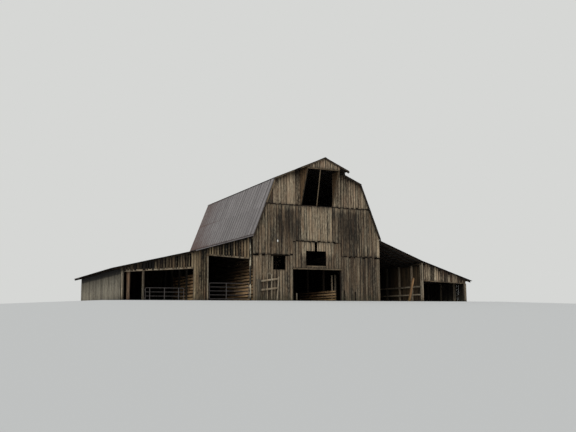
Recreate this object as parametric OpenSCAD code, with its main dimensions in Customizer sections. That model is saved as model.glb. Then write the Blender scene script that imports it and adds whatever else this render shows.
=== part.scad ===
// Weathered gambrel livestock barn with a hay hood and an open lean-to shed on each side.
// Millimetres, +Z up. The gable front looks to -Y, and x and y are first laid out from the
// middle of the front wall's outer face, then moved so that the origin is the footprint's centre.

/* [Main block] */
// Width of the main block over its side walls
block_w = 12000; // [10000:100:15000]
// Length of the main block, front boards to rear boards
block_len = 16000; // [12000:500:21000]
// Height of the roof surface at the side walls
eave_h = 5500; // [4700:50:6500]
// Height of the bend in the gambrel roof
knuckle_h = 10220; // [9400:20:11000]
// Half width of the roof at its bend
knuckle_x = 4120; // [3500:20:4700]
// Height of the ridge
ridge_h = 12000; // [11600:50:13200]
// How far the roof runs past the gable walls
rake_over = 300; // [150:10:500]

/* [Timber and sheet] */
// Thickness of the wall boards
board_t = 28; // [20:1:40]
// Thickness of the roof sheets with the deck boards under them
roof_t = 30; // [20:1:45]
// Depth of a rafter
rafter_d = 140; // [100:5:200]
// Width of a rafter
rafter_w = 50; // [40:1:80]
// Largest distance between rafters
rafter_step = 1000; // [600:50:1300]
// Side of the square posts and beams
post_s = 150; // [120:5:200]
// How far one tier of boards laps over the tier below
lap = 60; // [40:5:100]
// Distance between the crimps of the roof sheets
crimp_pitch = 305; // [200:5:400]
// Height of a crimp
crimp_h = 14; // [8:1:20]

/* [Front wall] */
// Height where the lowest tier of boards ends
tier1_h = 3820; // [3500:10:4200]
// Height where the middle tier ends, the sill of the hay door
tier2_h = 8080; // [7600:10:8400]
// Left edge of the wide doorway
door_x0 = -2400; // [-2800:10:-2000]
// Right edge of the wide doorway
door_x1 = 2120; // [1900:10:2600]
// Height of the doorway
door_h = 2670; // [2400:10:3000]
// Height of the patched centre panel over the doorway
panel_h = 5000; // [4700:10:5400]
// Left edge of the small left window
window_x0 = -4210; // [-4400:10:-4000]
// Width of the small left window
window_w = 1110; // [800:10:1200]
// Sill of the small left window
window_sill = 2600; // [2400:10:2900]
// Left edge of the T-shaped opening in the centre panel
slot_x0 = -1190; // [-1400:10:-900]
// Width of the T-shaped opening
slot_w = 1880; // [1400:10:2200]
// Sill of the T-shaped opening
slot_sill = 3000; // [2900:10:3200]
// Height of the wide part of the T-shaped opening
slot_h = 1230; // [900:10:1400]
// Width of the narrow upright part of the T-shaped opening
slot_neck_w = 260; // [150:10:400]

/* [Hay hood] */
// Left edge of the hay door
hay_x0 = -1560; // [-1700:10:-1400]
// Right edge of the hay door
hay_x1 = 1330; // [1200:10:1500]
// How far the hood reaches out of the gable
hood_out = 1350; // [900:10:1700]
// Half width of the hood's roof
hood_half = 2300; // [2000:10:2600]
// Side of the slanted jambs
jamb_s = 80; // [60:5:120]

/* [Left shed] */
// Distance of the left shed's side wall from the ridge line
left_side = 16640; // [15500:20:18000]
// Roof height where the left shed meets the main block
left_top = 5340; // [5000:10:5350]
// Distance of the bend in the left shed's roof from the ridge line
left_bend = 10875; // [10000:25:12000]
// Roof height at that bend
left_bend_h = 3950; // [3800:10:4200]
// Roof height at the left eave
left_eave_h = 2440; // [2300:10:2700]
// How far the left eave runs past the side wall
left_over = 680; // [400:10:900]
// Width of the boarded pier between the left shed's bays
pier_w = 1210; // [900:10:1500]
// Headroom at the left end of the inner bay's sagging header
inner_head_l = 3580; // [3400:10:3700]
// Headroom at its right end
inner_head_r = 3400; // [3200:10:3600]
// Headroom at the left end of the outer bay's sagging header
outer_head_l = 2150; // [2000:10:2200]
// Headroom at its right end
outer_head_r = 2530; // [2400:10:2700]

/* [Right shed] */
// Distance of the right shed's side wall from the ridge line
right_side = 15300; // [14500:20:16500]
// Roof height where the right shed meets the main block
right_top = 5340; // [5000:10:5350]
// Distance of the bend in the right shed's roof from the ridge line
right_bend = 10430; // [9800:10:11200]
// Roof height at that bend
right_bend_h = 3690; // [3500:10:3900]
// Roof height at the right eave
right_eave_h = 1980; // [1850:10:2200]
// How far the right eave runs past the side wall
right_over = 640; // [400:10:900]
// Headroom at the left end of the outer bay's header
right_head_l = 1890; // [1850:10:2000]
// Headroom at its right end
right_head_r = 1690; // [1600:10:1750]

/* [Gates] */
// Length of the outer bay's gate
outer_gate_l = 3050; // [2600:10:3200]
// Height of the outer bay's gate
outer_gate_h = 970; // [900:10:1300]
// Height of the inner bay's gate
inner_gate_h = 1280; // [1100:10:1400]
// Diameter of the gate rails
tube_d = 42; // [34:1:50]
// Clearance under the outer bay's gate
outer_gate_lift = 60; // [40:10:250]
// Clearance under the inner bay's gate
inner_gate_lift = 180; // [100:10:250]

/* [Hidden] */

grey_board = "#8a8076";
dark_board = "#5d544b";
warm_board = "#8c6f54";
timber = "#75695c";
roof_metal = "#8b878c";
tube_metal = "#7d7f80";

// Room left where two sloping faces would meet
seat_gap = 1;
// Room left between two like pieces that butt on one support
butt_gap = 10;
half_w = block_w / 2;
half_post = post_s / 2;
left_tip = left_side + left_over;
right_tip = right_side + right_over;
hood_front = hood_out + 100;
shift_x = (right_tip - left_tip) / 2;
shift_y = (block_len + rake_over - hood_front) / 2;

// The gambrel's two slopes, and the heights of the roof surface and of a depth below it
upper_rise = (ridge_h - knuckle_h) / knuckle_x;
lower_rise = (knuckle_h - eave_h) / (half_w - knuckle_x);
function drop(depth, rise) = depth * sqrt(1 + rise * rise);
function roof_at(x) = abs(x) < knuckle_x ? ridge_h - upper_rise * abs(x)
                                         : knuckle_h - lower_rise * (abs(x) - knuckle_x);
function rise_at(x) = abs(x) < knuckle_x ? upper_rise : lower_rise;
function under_roof(x, depth) = roof_at(x) - drop(depth, rise_at(x));
// Half width of the space below the lower slope at height z, at a depth below the surface
function lower_x(z, depth) = knuckle_x + (knuckle_h - drop(depth, lower_rise) - z) / lower_rise;
// Point where the two slopes' undersides meet, at a depth below the surface
function bend_inset(depth) = (drop(depth, lower_rise) - drop(depth, upper_rise)) / (lower_rise - upper_rise);
function bend_point(depth) =
    [knuckle_x - bend_inset(depth), knuckle_h + upper_rise * bend_inset(depth) - drop(depth, upper_rise)];

// Distance down the slope from the bend to the head of the lower course, clear of the upper
// rafters and, with its crimps, of the upper course that drips over it
lower_run = 1 / sqrt(1 + lower_rise * lower_rise);
crimp_head = crimp_h * lower_run * (1 + upper_rise * lower_rise) + drop(roof_t + 2 * seat_gap, upper_rise);
course_head = ceil(max(roof_t * lower_rise + drop(2 * seat_gap, lower_rise),
                       crimp_head / (lower_rise - upper_rise) / lower_run));
deck_under = roof_t + seat_gap;
rafter_under = deck_under + rafter_d + seat_gap;
plate_top = eave_h - 150;
foot_x = lower_x(plate_top, deck_under + rafter_d);
rafter_count = ceil((block_len - rafter_w) / rafter_step);
rafter_pitch = (block_len - rafter_w) / rafter_count;
rafter_ys = [for (i = [0 : rafter_count]) round(i * rafter_pitch)];

// Posts stand behind the girts
girt_t = 50;
post_y0 = board_t + girt_t;
bay_count = 5;
bay_pitch = (block_len - 2 * post_y0 - post_s) / bay_count;
post_ys = [for (i = [0 : bay_count]) round(post_y0 + i * bay_pitch)];

// The sheds have their own, closer rows of posts, and rafters between their end boards. The right
// shed's first bay is shorter than the others.
shed_bay_count = 8;
last_post_y = block_len - board_t - post_s;
left_bay_pitch = (last_post_y - board_t) / shed_bay_count;
left_post_ys = [for (i = [0 : shed_bay_count]) round(board_t + i * left_bay_pitch)];
right_first_bay = 1470;
right_bay_pitch = (last_post_y - board_t - right_first_bay) / (shed_bay_count - 1);
right_post_ys = concat([board_t], [for (i = [0 : shed_bay_count - 1])
                                      round(board_t + right_first_bay + i * right_bay_pitch)]);
shed_rafter_pitch = (block_len - 2 * board_t - rafter_w) / rafter_count;
shed_rafter_ys = [for (i = [0 : rafter_count]) round(board_t + i * shed_rafter_pitch)];

// Hay hood
cheek_t = 28;
cheek_x0 = hay_x0 - jamb_s - cheek_t;
cheek_x1 = hay_x1 + jamb_s + cheek_t;
hood_board_y = -hood_out;
head_y = hood_board_y + board_t;
head_top = floor(under_roof(max(-cheek_x0, cheek_x1), rafter_under));
head_d = 120;
hay_head = head_top - head_d;
tier2_y = -board_t;
tier3_y = -2 * board_t;

// Lofts beside the aisle
loft_h = 4000;
loft_t = 30;
joist_d = 180;
girder_top = loft_h - loft_t - joist_d;
aisle_x0 = door_x0 - post_s;

module barn(paint) {
    color(paint) translate([-shift_x, -shift_y, 0]) children();
}

// A plate with an outline in x and z, from y0 to y0 + t
module wall_plate(outline, y0, t) {
    translate([0, y0 + t, 0]) rotate([90, 0, 0]) linear_extrude(height = t) polygon(outline);
}

// A plate with an outline in y and z, from x0 to x0 + t
module cross_plate(outline, x0, t) {
    translate([x0, 0, 0]) rotate([90, 0, 90]) linear_extrude(height = t) polygon(outline);
}

module block(low, high) {
    translate(low) cube(high - low);
}

// The outline of a layer between two depths below a sloping line, with upright ends
function strip(p, q, depth0, depth1) =
    let (rise = (p[1] - q[1]) / (q[0] - p[0]))
    [[p[0], p[1] - drop(depth0, rise)], [q[0], q[1] - drop(depth0, rise)],
     [q[0], q[1] - drop(depth1, rise)], [p[0], p[1] - drop(depth1, rise)]];
function mirrored(outline) = [for (p = outline) [-p[0], p[1]]];
function sided(outline, side) = side < 0 ? mirrored(outline) : outline;
// Height at x of the straight line through p and q
function line_at(p, q, x) = p[1] + (q[1] - p[1]) * (x - p[0]) / (q[0] - p[0]);

ridge_point = [0, ridge_h];
knuckle_point = [knuckle_x, knuckle_h];
eave_point = [half_w, eave_h];
drip_x = half_w + 30;
drip_point = [drip_x, line_at(knuckle_point, eave_point, drip_x)];

// The main block's gable front

module front_wall_left() {
    top = tier1_h + lap;
    outline = [[-half_w, 0], [door_x0, 0], [door_x0, top], [window_x0 + window_w, top],
               [window_x0 + window_w, window_sill], [window_x0, window_sill],
               [window_x0, top], [-half_w, top]];
    barn(grey_board) wall_plate(outline, 0, board_t);
}

module front_wall_right() {
    barn(grey_board) block([door_x1, 0, 0], [half_w, board_t, tier1_h + lap]);
}

// Header board over the doorway, and the sill board under the T-shaped opening
module door_lintel() {
    lintel_h = 130;
    past_left = 100;
    past_right = 150;
    sill_h = 120;
    sill_past = 40;
    sill_top = slot_sill - butt_gap;
    barn(timber) {
        block([door_x0 - past_left, -board_t, door_h], [door_x1 + past_right, 0, door_h + lintel_h]);
        block([slot_x0 - sill_past, -board_t, sill_top - sill_h],
              [slot_x0 + slot_w + sill_past, 0, sill_top]);
    }
}

// Boards over the doorway, with a window that runs up into a narrow slot
module front_centre_panel() {
    top = panel_h + lap;
    slot_x1 = slot_x0 + slot_w;
    neck_x0 = slot_x0 + (slot_w - slot_neck_w) / 2;
    slot_top = slot_sill + slot_h;
    // the panel starts behind the header board
    base = door_h + lap;
    outline = [[door_x0, base], [door_x1, base], [door_x1, top],
               [neck_x0 + slot_neck_w, top], [neck_x0 + slot_neck_w, slot_top],
               [slot_x1, slot_top], [slot_x1, slot_sill], [slot_x0, slot_sill],
               [slot_x0, slot_top], [neck_x0, slot_top], [neck_x0, top], [door_x0, top]];
    barn(warm_board) wall_plate(outline, 0, board_t);
}

// Outline of a gable tier from height z0 to z1, below the roof deck
function tier_outline(z0, z1) =
    let (x0 = min(half_w, lower_x(z0, deck_under)), x1 = lower_x(z1, deck_under),
         side_z = under_roof(half_w - 0.001, deck_under))
    z0 < side_z ? [[half_w, z0], [half_w, floor(side_z)], [x1, z1]] : [[x0, z0], [x1, z1]];

module middle_tier(y0) {
    right = tier_outline(tier1_h, tier2_h);
    outline = concat([[door_x1, panel_h], [door_x1, tier1_h]], right,
                     [for (i = [len(right) - 1 : -1 : 0]) [-right[i][0], right[i][1]]],
                     [[door_x0, tier1_h], [door_x0, panel_h]]);
    wall_plate(outline, y0, board_t);
}

module front_wall_middle() {
    barn(grey_board) middle_tier(tier2_y);
}

// Half of the top tier beside the hay door, its inner edge at x_in
module gable_half(x_in, side, y0) {
    z0 = tier2_h - lap;
    outline = [[x_in, z0], [lower_x(z0, deck_under), z0], bend_point(deck_under),
               [x_in, under_roof(x_in, deck_under)]];
    wall_plate(sided(outline, side), y0, board_t);
}

module front_gable() {
    barn(grey_board) {
        gable_half(-cheek_x0, -1, tier3_y);
        gable_half(cheek_x1, 1, tier3_y);
    }
}

girt_d = 150;
// Heights of the undersides of the lower tier's girts
lower_girts = [300, 1450, window_sill - girt_d, tier1_h];
upper_girts = [6400, tier2_h - girt_d];

// Girts that the front boards are nailed to
module front_framing() {
    barn(timber) {
        for (z = lower_girts) {
            block([-wall_x, board_t, z], [door_x0, post_y0, z + girt_d]);
            block([door_x1, board_t, z], [wall_x, post_y0, z + girt_d]);
        }
        block([door_x0 + butt_gap, board_t, door_h], [door_x1 - butt_gap, post_y0, door_h + girt_d]);
        block([door_x0 - post_s, 0, panel_h + lap], [door_x1 + post_s, post_y0, panel_h + lap + girt_d]);
        for (z = upper_girts) {
            x = floor(lower_x(z + girt_d, rafter_under));
            block([-x, 0, z], [x, post_y0, z + girt_d]);
        }
    }
}

// Slanted line of the hood's face from the sill to the header
slant_foot = [tier3_y, tier2_h];
slant_head = [head_y, hay_head];

module hood_cheeks() {
    for (x0 = [cheek_x0, hay_x1 + jamb_s]) {
        outer = max(abs(x0), abs(x0 + cheek_t));
        top = floor(under_roof(outer, rafter_under));
        outline = [slant_foot, [tier2_y, tier2_h], [tier2_y, top], [head_y, top],
                   [head_y, hay_head]];
        barn(warm_board) cross_plate(outline, x0, cheek_t);
    }
}

// Studs beside the hay door, its slanted jambs and the leaning stud between them
module hood_frame() {
    jamb_depth = 100;
    jamb = [slant_foot, [slant_foot[0] + jamb_depth, tier2_h],
            [slant_head[0] + jamb_depth, hay_head], slant_head];
    run = slant_head[0] - slant_foot[0];
    lean = atan2(-run, hay_head - tier2_h);
    stud_s = 60;
    stud_foot_x = -130;
    stud_head_x = -400;
    sway = atan2(stud_head_x - stud_foot_x, hay_head - tier2_h);
    barn(timber) {
        cross_plate(jamb, hay_x0 - jamb_s, jamb_s);
        cross_plate(jamb, hay_x1, jamb_s);
        for (side = [-1, 1]) {
            x_in = side < 0 ? -cheek_x0 : cheek_x1;
            x0 = side < 0 ? -x_in - post_s : x_in;
            block([x0, 0, tier2_h], [x0 + post_s, post_y0, floor(under_roof(x_in + post_s, rafter_under))]);
        }
        intersection() {
            translate([stud_foot_x, slant_foot[0], tier2_h]) rotate([lean, sway, 0])
                translate([-stud_s / 2, 20, -500]) cube([stud_s, stud_s, 4500]);
            block([stud_head_x - 200, -hood_out, tier2_h], [stud_foot_x + 200, 200, hay_head]);
        }
    }
}

// Header over the slanted jambs
module hood_header() {
    barn(timber) block([hay_x0 - jamb_s, head_y, hay_head], [hay_x1 + jamb_s, head_y + jamb_s, head_top]);
}

// Closed triangle of boards between the hood's header and its roof
module hood_gable() {
    outline = [[cheek_x0, hay_head + 60], [cheek_x1, hay_head + 60],
               [cheek_x1, under_roof(cheek_x1, deck_under)],
               [0, ridge_h - drop(deck_under, upper_rise)],
               [cheek_x0, under_roof(cheek_x0, deck_under)]];
    barn(warm_board) wall_plate(outline, hood_board_y, board_t);
}

// One straight course of crimped sheet over its deck, on the line from p down to q. It starts and
// ends at distances measured along the slope, with its crimps running down the slope.
module roof_course(p, q, side, y0, y1, start = 0, past = 0) {
    slope = atan2(p[1] - q[1], q[0] - p[0]);
    crimps = floor((y1 - y0) / crimp_pitch);
    first = y0 + (y1 - y0 - (crimps - 1) * crimp_pitch) / 2;
    profile = concat([[y0, -roof_t], [y0, 0]],
                     [for (i = [0 : crimps - 1], step = [-1, 0, 1])
                          [first + i * crimp_pitch + step * crimp_h, step == 0 ? crimp_h : 0]],
                     [[y1, 0], [y1, -roof_t]]);
    mirror([side < 0 ? 1 : 0, 0, 0])
        translate([p[0], 0, p[1]]) rotate([0, slope, 0])
            cross_plate(profile, start, norm(q - p) + past - start);
}

// The two upper courses stay apart under the ridge cap, and drip over the lower ones at the bend
ridge_split = 20;
bend_over = 90;

module hood_roof() {
    barn(roof_metal)
        for (side = [-1, 1])
            roof_course(ridge_point, [hood_half, roof_at(hood_half)], side,
                        -hood_front, -rake_over, ridge_split);
}

module main_roof(side) {
    y1 = block_len + rake_over;
    barn(roof_metal) {
        roof_course(ridge_point, knuckle_point, side, -rake_over, y1, ridge_split, bend_over);
        roof_course(knuckle_point, drip_point, side, -rake_over, y1, course_head);
    }
}

module main_roof_left() {
    main_roof(-1);
}

module main_roof_right() {
    main_roof(1);
}

// Bent strip of metal over the ridge
module ridge_cap() {
    cap_half = 180;
    cap_t = 6;
    cap_lift = drop(crimp_h + seat_gap, upper_rise);
    edge = cap_half * upper_rise;
    outline = [[0, cap_lift + cap_t], [cap_half, cap_lift + cap_t - edge], [cap_half, cap_lift - edge],
               [0, cap_lift], [-cap_half, cap_lift - edge], [-cap_half, cap_lift + cap_t - edge]];
    placed = [for (p = outline) [p[0], p[1] + ridge_h]];
    barn(roof_metal) wall_plate(placed, -hood_front, hood_front + block_len + rake_over);
}

ridge_board_half = 20;
hood_rafter_ys = [head_y, round((head_y + tier3_y) / 2)];

module upper_rafters() {
    barn(timber)
        for (side = [-1, 1]) {
            outline = strip([ridge_board_half, roof_at(ridge_board_half)], knuckle_point,
                            deck_under, deck_under + rafter_d);
            for (y = rafter_ys) wall_plate(sided(outline, side), y, rafter_w);
            hood_outline = strip([ridge_board_half, roof_at(ridge_board_half)],
                                 [hood_half, roof_at(hood_half)], deck_under, deck_under + rafter_d);
            for (y = hood_rafter_ys) wall_plate(sided(hood_outline, side), y, rafter_w);
        }
}

module lower_rafters() {
    top_drop = drop(deck_under, lower_rise);
    outline = [[knuckle_x, knuckle_h - top_drop], [half_w, eave_h - top_drop],
               [half_w, plate_top], [foot_x, plate_top],
               [knuckle_x, knuckle_h - drop(deck_under + rafter_d, lower_rise)]];
    barn(timber)
        for (side = [-1, 1], y = rafter_ys) wall_plate(sided(outline, side), y, rafter_w);
}

// Boards under the edges of the overhanging roofs at both gables and round the hood
module rake_boards() {
    rake_t = 30;
    rake_d = 110;
    upper = strip([hood_half, roof_at(hood_half)], knuckle_point, deck_under, deck_under + rake_d);
    rear_upper = strip([ridge_board_half, roof_at(ridge_board_half)], knuckle_point,
                       deck_under, deck_under + rake_d);
    hood_upper = strip([ridge_board_half, roof_at(ridge_board_half)], [hood_half, roof_at(hood_half)],
                       deck_under, deck_under + rake_d);
    lower = strip([knuckle_x + butt_gap, line_at(knuckle_point, eave_point, knuckle_x + butt_gap)],
                  drip_point, deck_under, deck_under + rake_d);
    barn(timber)
        for (side = [-1, 1]) {
            wall_plate(sided(upper, side), -rake_over, rake_t);
            wall_plate(sided(lower, side), -rake_over, rake_t);
            wall_plate(sided(hood_upper, side), -hood_front, rake_t);
            wall_plate(sided(rear_upper, side), block_len + rake_over - rake_t, rake_t);
            wall_plate(sided(lower, side), block_len + rake_over - rake_t, rake_t);
        }
}

// The side walls are spaced planks, nailed outside the posts
plank_t = 40;
plank_h = 200;
plank_pitch = 260;
plank_z0 = 120;
plank_count = floor((eave_h - 200 - plank_z0) / plank_pitch);
wall_x = half_w - plank_t;

// Blocks that close the eaves between the rafters, on the wall plates
module eave_blocks() {
    block_t = 40;
    top = floor(under_roof(wall_x, deck_under)) - seat_gap;
    barn(timber)
        for (side = [-1, 1], i = [0 : rafter_count - 1]) {
            x0 = side < 0 ? -wall_x : wall_x - block_t;
            block([x0, rafter_ys[i] + rafter_w, plate_top], [x0 + block_t, rafter_ys[i + 1], top]);
        }
}

// Ridge board, the hood's side plates, purlin plates under the bends, wall plates and girders
module roof_beams() {
    ridge_top = floor(under_roof(ridge_board_half, deck_under));
    knuckle_top = floor(under_roof(knuckle_x - 1, rafter_under));
    barn(timber) {
        block([-ridge_board_half, head_y, ridge_top - 200], [ridge_board_half, block_len, ridge_top]);
        for (x0 = [hay_x0 - jamb_s, hay_x1])
            block([x0, head_y + jamb_s, hay_head], [x0 + jamb_s, post_y0, head_top]);
        for (side = [-1, 1]) {
            plate_x0 = side < 0 ? -wall_x : wall_x - post_s;
            block([plate_x0, post_y0, plate_top - post_s],
                  [plate_x0 + post_s, block_len - post_y0, plate_top]);
            bend_x0 = side < 0 ? -knuckle_x : knuckle_x - post_s;
            block([bend_x0, post_y0, knuckle_top - post_s],
                  [bend_x0 + post_s, block_len - post_y0, knuckle_top]);
            girder_x0 = side < 0 ? aisle_x0 : door_x1;
            block([girder_x0, post_y0, girder_top - post_s],
                  [girder_x0 + post_s, block_len - post_y0, girder_top]);
        }
    }
}

module side_planks(x0) {
    for (i = [0 : plank_count - 1]) {
        z = plank_z0 + i * plank_pitch;
        block([x0, board_t, z], [x0 + plank_t, block_len - board_t, z + plank_h]);
    }
}

module side_wall_left() {
    barn(warm_board) side_planks(-half_w);
}

module side_wall_right() {
    barn(warm_board) side_planks(wall_x);
}

// Posts under the wall plates, beside the aisle and under the bends of the roof
module barn_posts() {
    knuckle_top = floor(under_roof(knuckle_x - 1, rafter_under)) - post_s;
    barn(timber)
        for (y = post_ys) {
            for (x = [-wall_x, wall_x - post_s])
                block([x, y, 0], [x + post_s, y + post_s, plate_top - post_s]);
            for (x = [aisle_x0, door_x1])
                block([x, y, 0], [x + post_s, y + post_s, girder_top - post_s]);
            for (x = [-knuckle_x, knuckle_x - post_s])
                block([x, y, loft_h], [x + post_s, y + post_s, knuckle_top]);
        }
}

loft_edge = wall_x - post_s;

module loft_floor() {
    y0 = post_y0;
    y1 = block_len - post_y0;
    barn(dark_board) {
        block([-loft_edge, y0, loft_h - loft_t], [door_x0, y1, loft_h]);
        block([door_x1, y0, loft_h - loft_t], [loft_edge, y1, loft_h]);
    }
}

// One joist over the middle of each post
module loft_joists() {
    joist_t = 50;
    barn(timber)
        for (y = post_ys) {
            y0 = y + (post_s - joist_t) / 2;
            block([-loft_edge, y0, girder_top], [door_x0, y0 + joist_t, girder_top + joist_d]);
            block([door_x1, y0, girder_top], [loft_edge, y0 + joist_t, girder_top + joist_d]);
        }
}

// Planks along both sides of the aisle
aisle_rail_t = 30;

module aisle_rails() {
    rail_h = 165;
    rail_z0 = 150;
    rail_pitch = 230;
    right_y0 = 930;
    barn(warm_board)
        for (i = [0 : 3]) {
            z = rail_z0 + i * rail_pitch;
            block([door_x0, post_y0, z], [door_x0 + aisle_rail_t, block_len - post_y0, z + rail_h]);
            block([door_x1 - aisle_rail_t, right_y0, z], [door_x1, block_len - post_y0, z + rail_h]);
        }
}

// Stub of a post in the doorway, and two taller posts behind the front of the right rails
module door_posts() {
    stub_d = 110;
    stub_top = 700;
    prop_s = 110;
    prop_top = 2340;
    barn(timber) {
        round_post(door_x0 + 285, -stub_d / 2, stub_d, stub_top);
        for (y = [1050, 1670]) block([door_x1, y, 0], [door_x1 + prop_s, y + prop_s, prop_top]);
    }
}

// The rear wall repeats the front's tiers, closed and without a hood

module rear_wall_lower() {
    barn(grey_board) block([-half_w, block_len - board_t, 0], [half_w, block_len, tier1_h + lap]);
}

module rear_wall_middle() {
    barn(grey_board) {
        right = tier_outline(tier1_h, tier2_h);
        outline = concat(right, [for (i = [len(right) - 1 : -1 : 0]) [-right[i][0], right[i][1]]]);
        wall_plate(outline, block_len, board_t);
    }
}

module rear_gable() {
    z0 = tier2_h - lap;
    x0 = lower_x(z0, deck_under);
    bend = bend_point(deck_under);
    outline = [[-x0, z0], [x0, z0], bend, [0, ridge_h - drop(deck_under, upper_rise)], [-bend[0], bend[1]]];
    barn(grey_board) wall_plate(outline, block_len + board_t, board_t);
}

module rear_framing() {
    y0 = block_len - post_y0;
    barn(timber) {
        for (z = lower_girts)
            block([-wall_x, y0, z], [wall_x, block_len - board_t, z + girt_d]);
        for (z = upper_girts) {
            x = floor(lower_x(z + girt_d, rafter_under));
            block([-x, y0, z], [x, block_len, z + girt_d]);
        }
    }
}

// Lean-to sheds: each roof has a steeper inner course and a flatter outer one

left_inner = [[half_w, left_top], [left_bend, left_bend_h]];
left_outer = [[left_bend, left_bend_h], [left_tip, left_eave_h]];
right_inner = [[half_w, right_top], [right_bend, right_bend_h]];
right_outer = [[right_bend, right_bend_h], [right_tip, right_eave_h]];
shed_over = 200;
shed_y0 = -shed_over;
shed_y1 = block_len + shed_over;

// Height below one of a shed's courses at distance x from the ridge line
function course_under(course, x, depth) =
    let (rise = (course[0][1] - course[1][1]) / (course[1][0] - course[0][0]))
    line_at(course[0], course[1], x) - drop(depth, rise);
function left_under(x, depth) = course_under(x < left_bend ? left_inner : left_outer, x, depth);
function right_under(x, depth) = course_under(x < right_bend ? right_inner : right_outer, x, depth);

module shed_roof(inner, outer, side) {
    inner_rise = (inner[0][1] - inner[1][1]) / (inner[1][0] - inner[0][0]);
    roof_course(inner[0], inner[1], side, shed_y0, shed_y1, ceil(roof_t * inner_rise + 2 * seat_gap));
    roof_course(outer[0], outer[1], side, shed_y0, shed_y1, butt_gap);
}

// The outer rafters end a little behind the edge of the roof
module shed_rafters(inner, outer, side) {
    joint = [outer[0][0] + butt_gap, line_at(outer[0], outer[1], outer[0][0] + butt_gap)];
    tip_x = outer[1][0] - 60;
    tip = [tip_x, line_at(outer[0], outer[1], tip_x)];
    for (y = shed_rafter_ys) {
        wall_plate(sided(strip(inner[0], inner[1], deck_under, deck_under + rafter_d), side), y, rafter_w);
        wall_plate(sided(strip(joint, tip, deck_under, deck_under + rafter_d), side), y, rafter_w);
    }
}

module left_shed_roof() {
    barn(roof_metal) shed_roof(left_inner, left_outer, -1);
}

module left_shed_rafters() {
    barn(timber) shed_rafters(left_inner, left_outer, -1);
}

pole_d = 150;
pole_x = half_w + 180;
log_d = 290;
corner_log_x = left_side - board_t - log_d / 2;
second_log_x = corner_log_x - 480;
mid_post_x = left_side - 1738;
header_t = 100;
left_header_d = 150;
right_header_d = 120;
ledger_t = 50;
ledger_d = 120;

// The boarded pier stands from the left shed's outer bay to its inner bay
pier_out = left_bend + half_post;
pier_in = pier_out - pier_w;

module left_shed_pier() {
    outline = [[-pier_out, 0], [-pier_in, 0],
               [-pier_in, left_under(pier_in, deck_under)],
               [-left_bend, left_under(left_bend - 1, deck_under) - 1],
               [-pier_out, left_under(pier_out, deck_under)]];
    barn(grey_board) wall_plate(outline, 0, board_t);
}

inner_bay_out = pier_in;
inner_bay_in = pole_x + pole_d / 2;
outer_bay_in = pier_out;

// Boards over the two bays, down to the undersides of the sagging headers
module left_shed_front_boards() {
    inner_strip = [[-inner_bay_out, inner_head_l], [-inner_bay_in, inner_head_r],
                   [-inner_bay_in, left_under(inner_bay_in, deck_under)],
                   [-inner_bay_out, left_under(inner_bay_out, deck_under)]];
    outer_strip = [[-left_side, outer_head_l], [-outer_bay_in, outer_head_r],
                   [-outer_bay_in, left_under(outer_bay_in, deck_under)],
                   [-left_side, left_under(left_side, deck_under)]];
    barn(grey_board) {
        wall_plate(inner_strip, 0, board_t);
        wall_plate(outer_strip, 0, board_t);
    }
}

left_plate_top = floor(left_under(left_side - board_t, rafter_under));
left_mid_top = floor(left_under(left_bend + half_post, rafter_under));
outer_beam_x = left_side - board_t - post_s;

function outer_head_at(x) = line_at([left_side, outer_head_l], [outer_bay_in, outer_head_r], x);
function inner_head_at(x) = line_at([inner_bay_out, inner_head_l], [inner_bay_in, inner_head_r], x);

module left_shed_beams() {
    inner_header = [[-inner_bay_out, inner_head_at(inner_bay_out)],
                    [-inner_bay_in, inner_head_at(inner_bay_in)],
                    [-inner_bay_in, inner_head_at(inner_bay_in) + left_header_d],
                    [-inner_bay_out, inner_head_at(inner_bay_out) + left_header_d]];
    outer_out = corner_log_x - log_d / 2;
    outer_header = [[-outer_out, outer_head_at(outer_out)], [-outer_bay_in, outer_head_at(outer_bay_in)],
                    [-outer_bay_in, outer_head_at(outer_bay_in) + left_header_d],
                    [-outer_out, outer_head_at(outer_out) + left_header_d]];
    ledger_top = floor(left_under(half_w + ledger_t, rafter_under));
    barn(timber) {
        wall_plate(inner_header, board_t, header_t);
        wall_plate(outer_header, board_t, header_t);
        block([-half_w - ledger_t, board_t, ledger_top - ledger_d],
              [-half_w, block_len - board_t, ledger_top]);
        block([-left_bend - half_post, board_t, left_mid_top - post_s],
              [-left_bend + half_post, block_len - board_t, left_mid_top]);
        block([-outer_beam_x - post_s, board_t, left_plate_top - post_s],
              [-outer_beam_x, block_len - board_t, left_plate_top]);
    }
}

module round_post(x, y, d, top) {
    translate([x, y, 0]) cylinder(d = d, h = top, $fn = 24);
}

front_post_y = board_t + header_t / 2;

// Pier posts, log posts and poles at the front, and rows of posts under the two long beams
module left_shed_posts() {
    pier_pole_d = 130;
    pier_pole_top = 3500;
    mid_z = left_mid_top - post_s;
    plate_z = left_plate_top - post_s;
    barn(timber) {
        block([-left_bend - half_post, board_t, 0], [-left_bend + half_post, board_t + post_s, mid_z]);
        block([-pier_in - post_s, board_t, 0],
              [-pier_in, board_t + post_s, floor(left_under(pier_in, rafter_under)) - post_s]);
        round_post(-pole_x, board_t + pole_d / 2, pole_d, floor(left_under(pole_x + pole_d, rafter_under)));
        round_post(-pier_in - 110, -pier_pole_d / 2, pier_pole_d, pier_pole_top);
        round_post(-second_log_x, board_t + header_t + log_d / 2, log_d,
                   floor(left_under(second_log_x + log_d / 2, rafter_under)));
        block([-mid_post_x - half_post, board_t, 0],
              [-mid_post_x + half_post, board_t + post_s,
               floor(outer_head_at(mid_post_x + half_post)) - 2 * seat_gap]);
        round_post(-corner_log_x, board_t + log_d / 2, log_d, plate_z);
        for (i = [1 : shed_bay_count]) {
            y = left_post_ys[i];
            block([-left_bend - half_post, y, 0], [-left_bend + half_post, y + post_s, mid_z]);
            block([-outer_beam_x - post_s, y, 0], [-outer_beam_x, y + post_s, plate_z]);
        }
    }
}

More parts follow.
